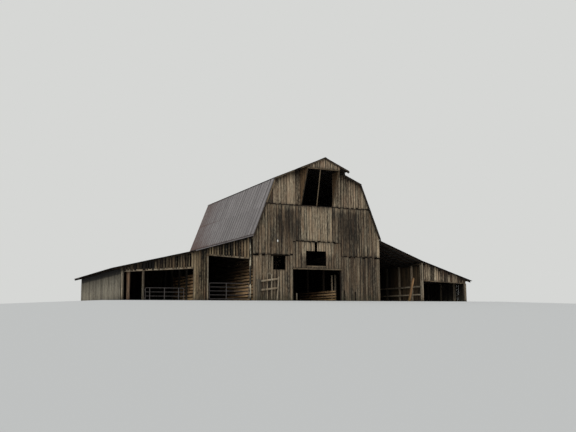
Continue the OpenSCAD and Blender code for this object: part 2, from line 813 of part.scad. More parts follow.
module left_shed_side_wall() {
    top = floor(left_under(left_side, rafter_under));
    barn(grey_board) block([-left_side, board_t, 0], [-left_side + board_t, block_len - board_t, top]);
}

module left_shed_rear_wall() {
    outline = [[-left_side, 0], [-half_w, 0], [-half_w, left_under(half_w, deck_under) - 2],
               [-left_bend, left_under(left_bend - 1, deck_under) - 1],
               [-left_side, left_under(left_side, deck_under)]];
    barn(grey_board) wall_plate(outline, block_len - board_t, board_t);
}

// Spaced planks behind the pier, on the shed's middle row of posts
module left_shed_partition() {
    x0 = -left_bend + half_post;
    y0 = board_t + post_s + 2 * butt_gap;
    y1 = 6500;
    partition_t = 30;
    barn(warm_board)
        for (i = [0 : 7]) {
            z = plank_z0 + i * plank_pitch;
            block([x0, y0, z], [x0 + partition_t, y1, z + plank_h]);
        }
}

// Tube gates on hook pins, closed in the plane of the front posts

gate_y = front_post_y + 20;
pin_d = 20;
eye_d = 34;
hook_reach = 60;
outer_hinge_x = -mid_post_x + half_post + hook_reach;
inner_hinge_x = -pier_in + hook_reach;
inner_gate_l = pier_in - inner_bay_in - 2 * hook_reach;
strap_w = 50;
strap_t = 8;
eye_h = 50;
// From the hinge line to the middle of the gate's first upright
eye_arm = 45;
// Heights of the undersides of a gate's two eyes
function eye_heights(lift, height) = [lift + 150, lift + height - 200];

// A quarter bend of tube in the gate's plane, from +X round to +Z
module corner_bend(bend_r) {
    rotate([90, 0, 0]) rotate_extrude(angle = 90, $fn = 48)
        translate([bend_r, 0]) circle(d = tube_d, $fn = 24);
}

// The gate's outer tube with bent corners, its rails and its flat straps
module gate(hinge_x, length, lift, height, rails, straps) {
    bend_r = 90;
    x0 = hinge_x + eye_arm;
    x1 = hinge_x + length;
    z0 = lift + tube_d / 2;
    z1 = lift + height - tube_d / 2;
    pitch = (z1 - z0) / (rails - 1);
    translate([0, gate_y, 0]) {
        for (z = [z0, z1])
            translate([x0 + bend_r, 0, z]) rotate([0, 90, 0])
                cylinder(d = tube_d, h = x1 - x0 - 2 * bend_r, $fn = 24);
        for (x = [x0, x1])
            translate([x, 0, z0 + bend_r]) cylinder(d = tube_d, h = z1 - z0 - 2 * bend_r, $fn = 24);
        translate([x1 - bend_r, 0, z1 - bend_r]) mirror([0, 1, 0]) corner_bend(bend_r);
        translate([x0 + bend_r, 0, z1 - bend_r]) mirror([1, 0, 0]) mirror([0, 1, 0]) corner_bend(bend_r);
        translate([x1 - bend_r, 0, z0 + bend_r]) mirror([0, 0, 1]) mirror([0, 1, 0]) corner_bend(bend_r);
        translate([x0 + bend_r, 0, z0 + bend_r])
            mirror([0, 0, 1]) mirror([1, 0, 0]) mirror([0, 1, 0]) corner_bend(bend_r);
        for (i = [1 : rails - 2])
            translate([x0, 0, z0 + i * pitch]) rotate([0, 90, 0])
                cylinder(d = tube_d - 6, h = x1 - x0, $fn = 24);
        for (s = straps)
            translate([x0 + s * (x1 - x0) - strap_w / 2, -tube_d / 2 - 2, z0])
                cube([strap_w, strap_t, z1 - z0]);
        for (z = eye_heights(lift, height))
            difference() {
                union() {
                    translate([hinge_x, 0, z]) cylinder(d = eye_d, h = eye_h, $fn = 24);
                    translate([hinge_x, -5, z]) cube([eye_arm, 10, eye_h]);
                }
                translate([hinge_x, 0, z - 1]) cylinder(d = pin_d + 1, h = eye_h + 2, $fn = 24);
            }
    }
}

module gate_outer() {
    barn(tube_metal)
        gate(outer_hinge_x, outer_gate_l, outer_gate_lift, outer_gate_h, 4, [0.11, 0.49, 0.86]);
}

module gate_inner() {
    barn(tube_metal) gate(inner_hinge_x, inner_gate_l, inner_gate_lift, inner_gate_h, 5, [0.42]);
}

// L-shaped hooks on the posts that carry the gates' eyes
module hook(hinge_x, z) {
    shank = 14;
    translate([hinge_x, gate_y, z]) {
        translate([0, 0, -5 - shank]) cylinder(d = pin_d, h = shank + 5 + eye_h + 10, $fn = 24);
        translate([-hook_reach, -shank / 2, -5 - shank]) cube([hook_reach, shank, shank]);
    }
}

module gate_hooks() {
    barn(tube_metal) {
        for (z = eye_heights(outer_gate_lift, outer_gate_h)) hook(outer_hinge_x, z);
        for (z = eye_heights(inner_gate_lift, inner_gate_h)) hook(inner_hinge_x, z);
    }
}

// Right shed: a fully open inner bay and a low outer bay

right_mid_top = floor(right_under(right_bend + half_post, rafter_under));
right_plate_top = floor(right_under(right_side - board_t, rafter_under));
right_beam_x = right_side - board_t - post_s;

module right_shed_roof() {
    barn(roof_metal) shed_roof(right_inner, right_outer, 1);
}

module right_shed_rafters() {
    barn(timber) shed_rafters(right_inner, right_outer, 1);
}

function right_head_at(x) =
    line_at([right_bend - half_post, right_head_l], [right_side, right_head_r], x);

module right_shed_front_boards() {
    x0 = right_bend - half_post;
    outline = [[x0, right_head_l], [right_side, right_head_at(right_side)],
               [right_side, right_under(right_side, deck_under)],
               [right_bend, right_under(right_bend + 1, deck_under) - 2],
               [x0, right_under(x0, deck_under)]];
    barn(grey_board) wall_plate(outline, 0, board_t);
}

module right_shed_beams() {
    header_out = right_beam_x;
    header_in = right_bend + half_post;
    header = [[header_in, right_head_at(header_in)], [header_out, right_head_at(header_out)],
              [header_out, right_head_at(header_out) + right_header_d],
              [header_in, right_head_at(header_in) + right_header_d]];
    ledger_top = floor(right_under(half_w + ledger_t, rafter_under));
    barn(timber) {
        wall_plate(header, board_t, header_t);
        block([half_w, board_t, ledger_top - ledger_d],
              [half_w + ledger_t, block_len - board_t, ledger_top]);
        block([right_bend - half_post, board_t, right_mid_top - post_s],
              [right_bend + half_post, block_len - board_t, right_mid_top]);
        block([right_beam_x, board_t, right_plate_top - post_s],
              [right_beam_x + post_s, block_len - board_t, right_plate_top]);
    }
}

// Rows of sawn posts under the two long beams, and two poles in front of the boards
module right_shed_posts() {
    bay_pole_d = 150;
    corner_pole_d = 140;
    barn(timber) {
        for (y = right_post_ys) {
            block([right_bend - half_post, y, 0],
                  [right_bend + half_post, y + post_s, right_mid_top - post_s]);
            block([right_beam_x, y, 0], [right_beam_x + post_s, y + post_s, right_plate_top - post_s]);
        }
        round_post(right_bend + 20, -bay_pole_d / 2, bay_pole_d, right_mid_top);
        round_post(right_side - corner_pole_d / 2 - butt_gap, -corner_pole_d / 2, corner_pole_d,
                   right_head_r + 30);
    }
}

// Upright boards on the shed's middle row of posts, with the outer bay behind them
module right_shed_partition() {
    x0 = right_bend + half_post;
    y0 = board_t + header_t + 2 * butt_gap;
    top_gap = 200;
    barn(dark_board) block([x0, y0, 0], [x0 + board_t, block_len - board_t, right_mid_top - top_gap]);
}

module right_shed_side_wall() {
    top = floor(right_under(right_side, rafter_under));
    barn(grey_board) block([right_side - board_t, board_t, 0], [right_side, block_len - board_t, top]);
}

module right_shed_rear_wall() {
    outline = [[half_w, 0], [right_side, 0], [right_side, right_under(right_side, deck_under)],
               [right_bend, right_under(right_bend + 1, deck_under) - 2],
               [half_w, right_under(half_w, deck_under) - 2]];
    barn(grey_board) wall_plate(outline, block_len - board_t, board_t);
}

// Horizontal rails nailed to the open bay's posts
module stall_rails() {
    x1 = right_bend - half_post;
    rail_t = 40;
    rail_h = 140;
    rail_end = 9000;
    barn(warm_board)
        for (z = [620, 1330])
            block([x1 - rail_t, board_t, z], [x1, rail_end, z + rail_h]);
}

// A round pole that leans to +X by an angle, cut level at the ground
module leaning_round(foot_x, foot_y, d, length, lean) {
    reach = length + d;
    intersection() {
        translate([foot_x, foot_y, 0]) rotate([0, lean, 0])
            translate([0, 0, -d]) cylinder(d = d, h = length + d, $fn = 24);
        block([foot_x - reach, foot_y - d, 0], [foot_x + reach, foot_y + d, reach]);
    }
}

// A thick pole that leans in front of the right shed's open bay
module leaning_pole() {
    foot_x = 8870;
    pole_d = 250;
    pole_l = 2200;
    lean = 14;
    barn(timber) leaning_round(foot_x, -pole_d / 2 - butt_gap, pole_d, pole_l, lean);
}

// Old rail panel in front of the boards: two slanted rails between a thick post and a leaning
// one, and a bowed pole behind them. The rails bite a little into the posts and the pole.
module front_rail_panel() {
    panel_y = -130;
    thick_post_x = -5550;
    thick_post_d = 240;
    thin_post_x = -3935;
    thin_post_d = 110;
    bow_x = -4600;
    bow_d = 60;
    bow_r = 200;
    bow_z = 2060;
    rail_x = -5450;
    rail_t = 34;
    rail_h = 150;
    rail_l = 1600;
    bite = 8;
    barn(timber) {
        round_post(thick_post_x, panel_y, thick_post_d, 1800);
        leaning_round(thin_post_x, panel_y, thin_post_d, 2040, 4.7);
        for (x = [bow_x - bow_r, bow_x + bow_r]) round_post(x, panel_y, bow_d, bow_z);
        translate([bow_x, panel_y, bow_z]) rotate([90, 0, 0])
            rotate_extrude(angle = 180, $fn = 48) translate([bow_r, 0]) circle(d = bow_d, $fn = 24);
        for (rail = [[840, 6.5], [1550, 7.4]])
            translate([rail_x, panel_y - bow_d / 2 - rail_t + bite, rail[0]]) rotate([0, -rail[1], 0])
                cube([rail_l, rail_t, rail_h]);
    }
}

// Small lamp on the front boards: a plate, an arm that slants down, and a hood over a long jar
module yard_lamp() {
    plate = [70, 16, 130];
    arm_d = 24;
    // From the plate to the hood
    arm = [120, -150, -330];
    hood = [130, 70, 60];
    jar = [70, 100, 190];
    barn("white") translate([-3990, tier2_y, 5400]) {
        translate([-plate[0] / 2, -plate[1], -plate[2] / 2]) cube(plate);
        translate([0, 2 - plate[1], 0]) rotate([0, acos(arm[2] / norm(arm)), atan2(arm[1], arm[0])])
            cylinder(d = arm_d, h = norm(arm), $fn = 24);
        translate([arm[0], arm[1] + 2 - plate[1], arm[2]]) {
            translate([0, 0, -hood[2] / 2]) cylinder(d1 = hood[0], d2 = hood[1], h = hood[2], $fn = 32);
            translate([0, 0, -hood[2] / 2 - jar[2]])
                cylinder(d1 = jar[0], d2 = jar[1], h = jar[2], $fn = 32);
        }
    }
}

front_wall_left();
front_wall_right();
front_centre_panel();
front_wall_middle();
front_gable();
door_lintel();
front_framing();
hood_gable();
hood_cheeks();
hood_frame();
hood_header();
hood_roof();
main_roof_left();
main_roof_right();
ridge_cap();
rake_boards();
upper_rafters();
lower_rafters();
roof_beams();
side_wall_left();
side_wall_right();
barn_posts();
loft_floor();
loft_joists();
rear_wall_lower();
rear_wall_middle();
rear_gable();
rear_framing();
left_shed_roof();
left_shed_rafters();
left_shed_front_boards();
left_shed_pier();
left_shed_beams();
left_shed_posts();
left_shed_side_wall();
left_shed_rear_wall();
left_shed_partition();
gate_outer();
gate_inner();
gate_hooks();
right_shed_roof();
right_shed_rafters();
right_shed_front_boards();
right_shed_beams();
right_shed_posts();
right_shed_partition();
right_shed_side_wall();
right_shed_rear_wall();
stall_rails();
leaning_pole();
front_rail_panel();
yard_lamp();
door_posts();
eave_blocks();
aisle_rails();
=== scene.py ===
# Weathered gambrel livestock barn: its boards, timbers, roof sheets, gates and their finishes.
# Places are given in metres from the ridge line (x), the outer face of the front boards (y) and
# the ground (z).
import math
import random

import bmesh
import bpy
from mathutils import Matrix, Vector, noise
from mathutils.bvhtree import BVHTree


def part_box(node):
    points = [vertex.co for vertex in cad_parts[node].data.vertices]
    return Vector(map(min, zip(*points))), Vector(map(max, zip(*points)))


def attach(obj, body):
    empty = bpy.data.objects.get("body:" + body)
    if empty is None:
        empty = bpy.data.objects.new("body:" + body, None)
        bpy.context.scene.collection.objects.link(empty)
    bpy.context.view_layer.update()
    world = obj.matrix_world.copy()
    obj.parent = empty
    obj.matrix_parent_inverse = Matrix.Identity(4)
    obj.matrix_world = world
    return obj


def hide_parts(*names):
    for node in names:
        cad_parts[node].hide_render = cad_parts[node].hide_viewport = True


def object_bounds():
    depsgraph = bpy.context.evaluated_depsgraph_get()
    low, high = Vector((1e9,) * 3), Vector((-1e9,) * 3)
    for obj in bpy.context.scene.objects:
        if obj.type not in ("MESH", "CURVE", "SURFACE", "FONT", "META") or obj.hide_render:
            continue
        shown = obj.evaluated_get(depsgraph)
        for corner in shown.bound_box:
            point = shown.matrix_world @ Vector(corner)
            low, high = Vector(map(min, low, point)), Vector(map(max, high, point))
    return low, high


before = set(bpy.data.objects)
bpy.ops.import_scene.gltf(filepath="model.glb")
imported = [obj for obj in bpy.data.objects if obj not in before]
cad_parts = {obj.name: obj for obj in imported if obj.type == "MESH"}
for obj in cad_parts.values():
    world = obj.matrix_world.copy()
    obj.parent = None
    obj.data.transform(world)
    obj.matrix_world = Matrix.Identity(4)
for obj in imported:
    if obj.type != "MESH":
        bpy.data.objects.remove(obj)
cad_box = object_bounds()

# Where the layout's zero lies in the frame

front_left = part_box("front_wall_left")
front_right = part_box("front_wall_right")
RIDGE_X = (front_left[0].x + front_right[1].x) / 2
FRONT_Y = front_left[0].y
MIDDLE = (cad_box[0] + cad_box[1]) / 2


def spot(x, y, z):
    """A place in the frame, from its place in the barn's layout."""
    return Vector((RIDGE_X + x, FRONT_Y + y, z))


# The bends of the roofs, each by its distance from the ridge line and its height, and how far the
# roofs run from front to back

RIDGE = (0, 12.0)
KNUCKLE = (4.12, 10.22)
UPPER_FALL = 0.432
LOWER_FALL = 2.511
DRIP_X = 6.03
DRIP = (DRIP_X, KNUCKLE[1] - (DRIP_X - KNUCKLE[0]) * LOWER_FALL)
HOOD_X = 2.3
HOOD_FOOT = (HOOD_X, RIDGE[1] - HOOD_X * UPPER_FALL)
LEFT_LINES = ((6.0, 5.34), (10.875, 3.95), (17.32, 2.44))
RIGHT_LINES = ((6.0, 5.34), (10.43, 3.69), (15.94, 1.98))
ROOF_Y = (-0.3, 16.3)
HOOD_Y = (-1.45, -0.3)
SHED_Y = (-0.2, 16.2)

# Camera, floor and light

PHOTO_CAMERA = (-28.544, -62.815, -1.426)
PHOTO_TURN = (90 + 7.8845, -0.4256, -25.4845)
PHOTO_LENS = 46.62
LEVEL_MARGIN = 1.6
FALL = 0.0454
FLOOR_REACH = 210
FLOOR_CORE = 36
FLOOR_CELLS = 140


def photo_camera():
    """The photograph's camera, as fitted to the edges of the barn."""
    camera = bpy.data.cameras.new("photo_camera")
    camera.sensor_width = 36
    camera.lens = PHOTO_LENS
    camera.clip_end = 1000
    holder = bpy.data.objects.new("photo_camera", camera)
    pitch, roll, yaw = (math.radians(turn) for turn in PHOTO_TURN)
    turn = Matrix.Rotation(yaw, 4, "Z") @ Matrix.Rotation(pitch, 4, "X") @ Matrix.Rotation(roll, 4, "Z")
    holder.matrix_world = Matrix.Translation(PHOTO_CAMERA) @ turn
    bpy.context.scene.collection.objects.link(holder)
    bpy.context.scene.camera = holder


def floor_height(x, y):
    """Level under the barn, then falling away on all sides, below the photograph's line of sight."""
    low, high = cad_box
    out_x = max(low.x - x, x - high.x, 0)
    out_y = max(low.y - y, y - high.y, 0)
    away = math.hypot(out_x, out_y) - LEVEL_MARGIN
    return -FALL * max(away, 0)


def studio_floor():
    shape = bmesh.new()
    bmesh.ops.create_grid(shape, x_segments=FLOOR_CELLS, y_segments=FLOOR_CELLS, size=FLOOR_REACH)
    for vert in shape.verts:
        # cells are small beside the barn and grow outwards
        for axis in (0, 1):
            share = vert.co[axis] / FLOOR_REACH
            widened = FLOOR_CORE + (FLOOR_REACH - FLOOR_CORE) * abs(share) ** 3
            vert.co[axis] = MIDDLE[axis] + share * widened
        vert.co.z = floor_height(vert.co.x, vert.co.y)
    mesh = bpy.data.meshes.new("studio_floor")
    shape.to_mesh(mesh)
    mesh.materials.append(floor_finish())
    floor = bpy.data.objects.new("studio_floor", mesh)
    bpy.context.scene.collection.objects.link(floor)


def soft_lamp(name, towards, strength, spread):
    """A lamp so wide that its shadows have soft edges. It shines from the direction given."""
    light = bpy.data.lights.new(name, "SUN")
    light.energy = strength
    light.angle = math.radians(spread)
    holder = bpy.data.objects.new(name, light)
    holder.rotation_euler = Vector(towards).to_track_quat("Z", "Y").to_euler()
    bpy.context.scene.collection.objects.link(holder)


# Small helpers for the finishes


def paint(red, green, blue):
    """A colour from its everyday 0 to 255 values."""
    def linear(value):
        share = value / 255
        return share / 12.92 if share <= 0.04045 else ((share + 0.055) / 1.055) ** 2.4
    return (linear(red), linear(green), linear(blue), 1)


def join(tree, node, values):
    """Joins each value to the node's input of that name, or sets the input to it."""
    for name, value in values.items():
        if isinstance(value, bpy.types.NodeSocket):
            tree.links.new(value, node.inputs[name])
        else:
            node.inputs[name].default_value = value


def place(tree, kind, inputs=None, **settings):
    """A new shader node with its settings, and its inputs joined or set."""
    made = tree.nodes.new(kind)
    for name, value in settings.items():
        setattr(made, name, value)
    join(tree, made, inputs or {})
    return made


def combine(tree, operation, *values, clamp=False):
    """The values taken together one after another by one operation, and held between 0 and 1 at
    the end if that is asked."""
    result = values[0]
    for count, value in enumerate(values[1:], 2):
        made = place(tree, "ShaderNodeMath", {0: result, 1: value}, operation=operation,
                     use_clamp=clamp and count == len(values))
        result = made.outputs[0]
    return result


def add(tree, *values, clamp=False):
    return combine(tree, "ADD", *values, clamp=clamp)


def times(tree, *values, clamp=False):
    return combine(tree, "MULTIPLY", *values, clamp=clamp)


def greatest(tree, *values, clamp=False):
    return combine(tree, "MAXIMUM", *values, clamp=clamp)


def size_of(tree, value):
    """A number without its sign."""
    return place(tree, "ShaderNodeMath", {0: value}, operation="ABSOLUTE").outputs[0]


def stretch(tree, value, from_low, from_high, to_low=0.0, to_high=1.0):
    """Spreads a range of values over another one, held at its ends."""
    made = place(tree, "ShaderNodeMapRange", {"Value": value, "From Min": from_low, "From Max": from_high,
                                              "To Min": to_low, "To Max": to_high})
    return made.outputs["Result"]


def mix_colour(tree, share, first, second):
    made = place(tree, "ShaderNodeMix", {0: share, 6: first, 7: second}, data_type="RGBA")
    return made.outputs[2]


def sized(tree, vector, scale):
    made = place(tree, "ShaderNodeVectorMath", {0: vector, 1: scale}, operation="MULTIPLY")
    return made.outputs["Vector"]


def cloud(tree, vector, scale, detail=3.0, roughness=0.55):
    """Noise between 0 and 1, its size set along each axis in repeats a metre."""
    made = place(tree, "ShaderNodeTexNoise", {"Vector": sized(tree, vector, scale), "Scale": 1.0,
                                              "Detail": detail, "Roughness": roughness})
    return made.outputs["Fac"]


def own_place(tree):
    """Where a point lies in its object, and the parts of that place."""
    where = place(tree, "ShaderNodeTexCoord").outputs["Object"]
    return where, place(tree, "ShaderNodeSeparateXYZ", {0: where}).outputs


def new_group(name, inputs, outputs):
    """An empty node group with its sockets. Returns the group and the nodes at its two ends."""
    tree = bpy.data.node_groups.new(name, "ShaderNodeTree")
    for socket, kind in inputs.items():
        tree.interface.new_socket(socket, in_out="INPUT", socket_type=kind)
    for socket, kind in outputs.items():
        tree.interface.new_socket(socket, in_out="OUTPUT", socket_type=kind)
    return tree, tree.nodes.new("NodeGroupInput"), tree.nodes.new("NodeGroupOutput")


def use_group(tree, name, maker, inputs):
    """A node that stands for a shared group, which is made at its first use."""
    group = bpy.data.node_groups.get(name) or maker(name)
    return place(tree, "ShaderNodeGroup", inputs, node_tree=group)


BOARD_PARTS = {"tone": "X", "across": "Y", "weather": "Z"}


def read_marks(tree, *names):
    """Those asked for of the marks that the workshop functions below wrote on each piece: its grain, tone,
    place across its width, weather and painted shade, distance from its ends and the dirt in the joint
    beside it."""
    board = place(tree, "ShaderNodeAttribute", attribute_name="board").outputs["Vector"]
    parts = place(tree, "ShaderNodeSeparateXYZ", {0: board}).outputs
    marks = []
    for name in names:
        if name in BOARD_PARTS:
            marks.append(parts[BOARD_PARTS[name]])
        else:
            kind = "Vector" if name == "grain" else "Fac"
            marks.append(place(tree, "ShaderNodeAttribute", attribute_name=name).outputs[kind])
    return marks


COLOUR = "NodeSocketColor"
NUMBER = "NodeSocketFloat"


def old_wood_group(name):
    """Sun-bleached, rain-streaked wood: silvered ridges, black streaks, knots and rotten ends, darkened
    further by painted shade where the weather and shade mark is high.
    """
    tree, start, end = new_group(name, {"Light": COLOUR, "Dark": COLOUR, "Stain and shade": COLOUR,
                                        "Warm": COLOUR, "Streaking": NUMBER},
                                 {"Color": COLOUR, "Roughness": NUMBER, "Height": NUMBER})
    grain, tone, across, weather, ends, joint = read_marks(tree, "grain", "tone", "across", "weather",
                                                           "ends", "joint")
    fibre = cloud(tree, grain, (150, 150, 2.5), 4, 0.6)
    streak = cloud(tree, grain, (24, 24, 0.45), 4, 0.65)
    run = cloud(tree, grain, (55, 55, 0.9), 2)
    patch = cloud(tree, grain, (2.2, 2.2, 0.7), 3)
    band = cloud(tree, grain, (9, 9, 0.2), 3, 0.6)
    blotch = cloud(tree, grain, (12, 12, 4.5), 3, 0.6)
    crack = cloud(tree, grain, (30, 30, 1.1), 2, 0.5)
    cells = place(tree, "ShaderNodeTexVoronoi", {"Vector": sized(tree, grain, (6, 6, 1.3)), "Scale": 1.0,
                                                 "Randomness": 1.0})
    knot = stretch(tree, cells.outputs["Distance"], 0.13, 0.07)

    # the board's own tone, then streaks and fibres on it, and painted shade that darkens it where the
    # weather and shade mark is high
    level = add(tree, tone, stretch(tree, streak, 0.3, 0.7, -0.34, 0.30),
                stretch(tree, band, 0.35, 0.65, -0.24, 0.24),
                stretch(tree, weather, 0.0, 1.8, 0.12, -0.45),
                stretch(tree, fibre, 0.3, 0.7, -0.17, 0.17),
                stretch(tree, blotch, 0.35, 0.65, -0.2, 0.2),
                stretch(tree, patch, 0.3, 0.7, -0.16, 0.16), clamp=True)
    wood = mix_colour(tree, level, start.outputs["Dark"], start.outputs["Light"])
    warm_share = stretch(tree, add(tree, patch, times(tree, tone, 0.2)), 0.5, 0.85, 0, 0.6)
    wood = mix_colour(tree, warm_share, wood, start.outputs["Warm"])

    # black streaks where rain runs, along the boards' edges, at their ends and in the knots, and painted
    # shade in the stain's colour where the weather and shade mark is high
    wet_and_shade = add(tree, times(tree, weather, start.outputs["Streaking"]),
              stretch(tree, run, 0.35, 0.7, -0.22, 0.28),
              stretch(tree, streak, 0.35, 0.65, 0.22, -0.22), clamp=True)
    # painted shade: past a mark of 1.8 the wood goes nearly black, standing for the dark inside the barn
    painted_inside_shade = stretch(tree, weather, 1.8, 3.5, 0.85, 0.97)
    worn = times(tree, stretch(tree, size_of(tree, across), 0.55, 0.75),
                 stretch(tree, run, 0.38, 0.6, 0.5, 1.2), stretch(tree, weather, 0.2, 1.2, 0.8, 1.3),
                 stretch(tree, joint, 0.0, 1.0, 0.4, 1.6), clamp=True)
    rot = times(tree, stretch(tree, ends, 0.28, 0.0), stretch(tree, streak, 0.35, 0.6, 0.2, 0.9))
    drip = add(tree, band, times(tree, weather, 0.05))
    dirt_and_shade = greatest(tree, times(tree, wet_and_shade, painted_inside_shade), times(tree, worn, 0.9), rot,
                    stretch(tree, drip, 0.6, 0.72, 0.0, 0.75),
                    stretch(tree, crack, 0.57, 0.68, 0.0, 0.8), times(tree, knot, 0.8))
    colour = mix_colour(tree, dirt_and_shade, wood, start.outputs["Stain and shade"])

    raised = add(tree, times(tree, fibre, 0.6), times(tree, run, 0.5))
    height = combine(tree, "SUBTRACT", raised, times(tree, knot, 0.4))
    rough = stretch(tree, fibre, 0.3, 0.7, 0.78, 0.95)
    join(tree, end, {"Color": colour, "Roughness": rough, "Height": height})
    return tree


def splash_group(name):
    """How far a place near the ground is darkened by splashed mud, from 1 at the ground to 0."""
    tree, start, end = new_group(name, {"Reach": NUMBER}, {"Mask": NUMBER})
    where, parts = own_place(tree)
    edge = stretch(tree, cloud(tree, where, (5, 5, 1.5), 3), 0.3, 0.7, -0.25, 0.25)
    mask = stretch(tree, add(tree, parts["Z"], edge), 0.0, start.outputs["Reach"], 1.0, 0.0)
    join(tree, end, {"Mask": mask})
    return tree


def rust_group(name):
    """Rust in patches and runs. Its mask grows with the amount."""
    tree, start, end = new_group(name, {"Place": "NodeSocketVector", "Amount": NUMBER},
                                 {"Color": COLOUR, "Mask": NUMBER, "Height": NUMBER})
    where = start.outputs["Place"]
    spots = cloud(tree, where, (9, 9, 3.5), 5, 0.65)
    runs = cloud(tree, where, (17, 17, 0.6), 3)
    level = add(tree, times(tree, spots, 0.6), times(tree, runs, 0.4), start.outputs["Amount"])
    mask = stretch(tree, level, 0.78, 1.05)
    grain = cloud(tree, where, (60, 60, 60), 4, 0.7)
    colour = mix_colour(tree, stretch(tree, grain, 0.35, 0.65), paint(66, 50, 46), paint(106, 84, 76))
    join(tree, end, {"Color": colour, "Mask": mask, "Height": times(tree, grain, mask)})
    return tree


def crimp_dirt_group(name):
    """Dirt beside the crimps and the side laps of the roof sheets, in broken lines down the slope."""
    tree, start, end = new_group(name, {"First": NUMBER}, {"Mask": NUMBER})
    across, joint = read_marks(tree, "across", "joint")
    where, parts = own_place(tree)
    past_first = combine(tree, "SUBTRACT", parts["Y"], start.outputs["First"])
    repeat = combine(tree, "DIVIDE", past_first, CRIMP_PITCH)
    apart = times(tree, combine(tree, "PINGPONG", repeat, 0.5), CRIMP_PITCH)
    broken = stretch(tree, cloud(tree, where, (6, 6, 0.7), 3), 0.35, 0.62, 0.35, 0.9)
    crimp = times(tree, stretch(tree, apart, 0.08, 0.02), broken)
    side_lap = times(tree, stretch(tree, size_of(tree, across), 0.54, 0.84),
                     stretch(tree, joint, 0.0, 1.0, 0.7, 1.4))
    join(tree, end, {"Mask": greatest(tree, crimp, side_lap, clamp=True)})
    return tree


def new_finish(name):
    """A material with its shader. Returns the material, its tree and the shader node."""
    finish = bpy.data.materials.new(name)
    finish.use_nodes = True
    tree = finish.node_tree
    return finish, tree, tree.nodes["Principled BSDF"]


def raise_bump(tree, shader, height, strength, distance):
    bump = place(tree, "ShaderNodeBump", {"Height": height, "Strength": strength, "Distance": distance})
    join(tree, shader, {"Normal": bump.outputs["Normal"]})


def wood_finish(name, light, dark, stain_and_shade, warm, streaking, splash_reach, splash_colour):
    """Old wood in its own colours, with mud splashed up from the ground."""
    finish, tree, shader = new_finish(name)
    wood = use_group(tree, "old_wood", old_wood_group,
                     {"Light": paint(*light), "Dark": paint(*dark), "Stain and shade": paint(*stain_and_shade),
                      "Warm": paint(*warm), "Streaking": streaking})
    splash = use_group(tree, "splash", splash_group, {"Reach": splash_reach})
    share = times(tree, splash.outputs["Mask"], 0.65)
    colour = mix_colour(tree, share, wood.outputs["Color"], paint(*splash_colour))
    join(tree, shader, {"Base Color": colour, "Roughness": wood.outputs["Roughness"],
                        "Specular IOR Level": 0.2})
    raise_bump(tree, shader, wood.outputs["Height"], 0.7, 0.006)
    return finish


def peeling_finish(name, pale, dull, bare):
    """A pole whose pale bark has come off in patches."""
    finish, tree, shader = new_finish(name)
    [grain] = read_marks(tree, "grain")
    fibre = cloud(tree, grain, (90, 90, 4), 3)
    left_on = stretch(tree, cloud(tree, grain, (5, 5, 1.2), 3, 0.6), 0.5, 0.55)
    bark = mix_colour(tree, stretch(tree, fibre, 0.3, 0.7), paint(*dull), paint(*pale))
    join(tree, shader, {"Base Color": mix_colour(tree, left_on, paint(*bare), bark),
                        "Roughness": stretch(tree, fibre, 0.3, 0.7, 0.75, 0.95)})
    raise_bump(tree, shader, add(tree, left_on, times(tree, fibre, 0.3)), 0.7, 0.006)
    return finish


def rust_over(tree, shader, metal, metallic, where, amount):
    """Lays rust over a metal's colour, which takes its shine away. Returns the rust's node."""
    rust = use_group(tree, "rust", rust_group, {"Place": where, "Amount": amount})
    mask = rust.outputs["Mask"]
    join(tree, shader, {"Base Color": mix_colour(tree, mask, metal, rust.outputs["Color"]),
                        "Metallic": stretch(tree, mask, 0.0, 0.6, metallic, 0.0)})
    return rust


def roof_finish(name, pale, dull, rust_amount, first_crimp):
    """Dull galvanised sheet: streaks down the slope, spangle, chalky bloom and rust."""
    finish, tree, shader = new_finish(name)
    grain, tone, weather, ends = read_marks(tree, "grain", "tone", "weather", "ends")
    streak = cloud(tree, grain, (14, 14, 0.2), 3, 0.6)
    fine = cloud(tree, grain, (38, 38, 0.8), 3)
    level = add(tree, stretch(tree, tone, 0.0, 1.0, 0.3, 0.44),
                stretch(tree, streak, 0.35, 0.65, -0.12, 0.3),
                stretch(tree, fine, 0.3, 0.7, -0.2, 0.2), clamp=True)
    metal = mix_colour(tree, level, paint(*dull), paint(*pale))
    seam = use_group(tree, "crimp_dirt", crimp_dirt_group, {"First": first_crimp})
    metal = mix_colour(tree, times(tree, seam.outputs["Mask"], 0.95), metal, paint(44, 38, 36))
    amount = add(tree, times(tree, weather, 0.5), rust_amount, stretch(tree, ends, 0.18, 0.0, 0.0, 0.16))
    rust = rust_over(tree, shader, metal, 0.35, grain, amount)
    rough = stretch(tree, add(tree, fine, rust.outputs["Mask"]), 0.3, 1.2, 0.5, 0.85)
    join(tree, shader, {"Roughness": rough})
    raise_bump(tree, shader, add(tree, rust.outputs["Height"], times(tree, fine, 0.2)), 0.4, 0.003)
    return finish


def metal_finish(name, pale, dull, rust_amount, metallic, roughness):
    """Smaller metal parts, patterned on their own places."""
    finish, tree, shader = new_finish(name)
    where, _ = own_place(tree)
    level = cloud(tree, where, (14, 14, 14), 5, 0.6)
    metal = mix_colour(tree, stretch(tree, level, 0.3, 0.7), paint(*dull), paint(*pale))
    rust = rust_over(tree, shader, metal, metallic, where, rust_amount)
    rough = stretch(tree, add(tree, level, rust.outputs["Mask"]), 0.2, 1.2, roughness, 0.9)
    join(tree, shader, {"Roughness": rough})
    raise_bump(tree, shader, add(tree, level, rust.outputs["Height"]), 0.25, 0.002)
    return finish


def floor_finish():
    finish, tree, shader = new_finish("floor_paper")
    join(tree, shader, {"Base Color": paint(206, 206, 204), "Roughness": 0.95, "Specular IOR Level": 0.0})
    return finish


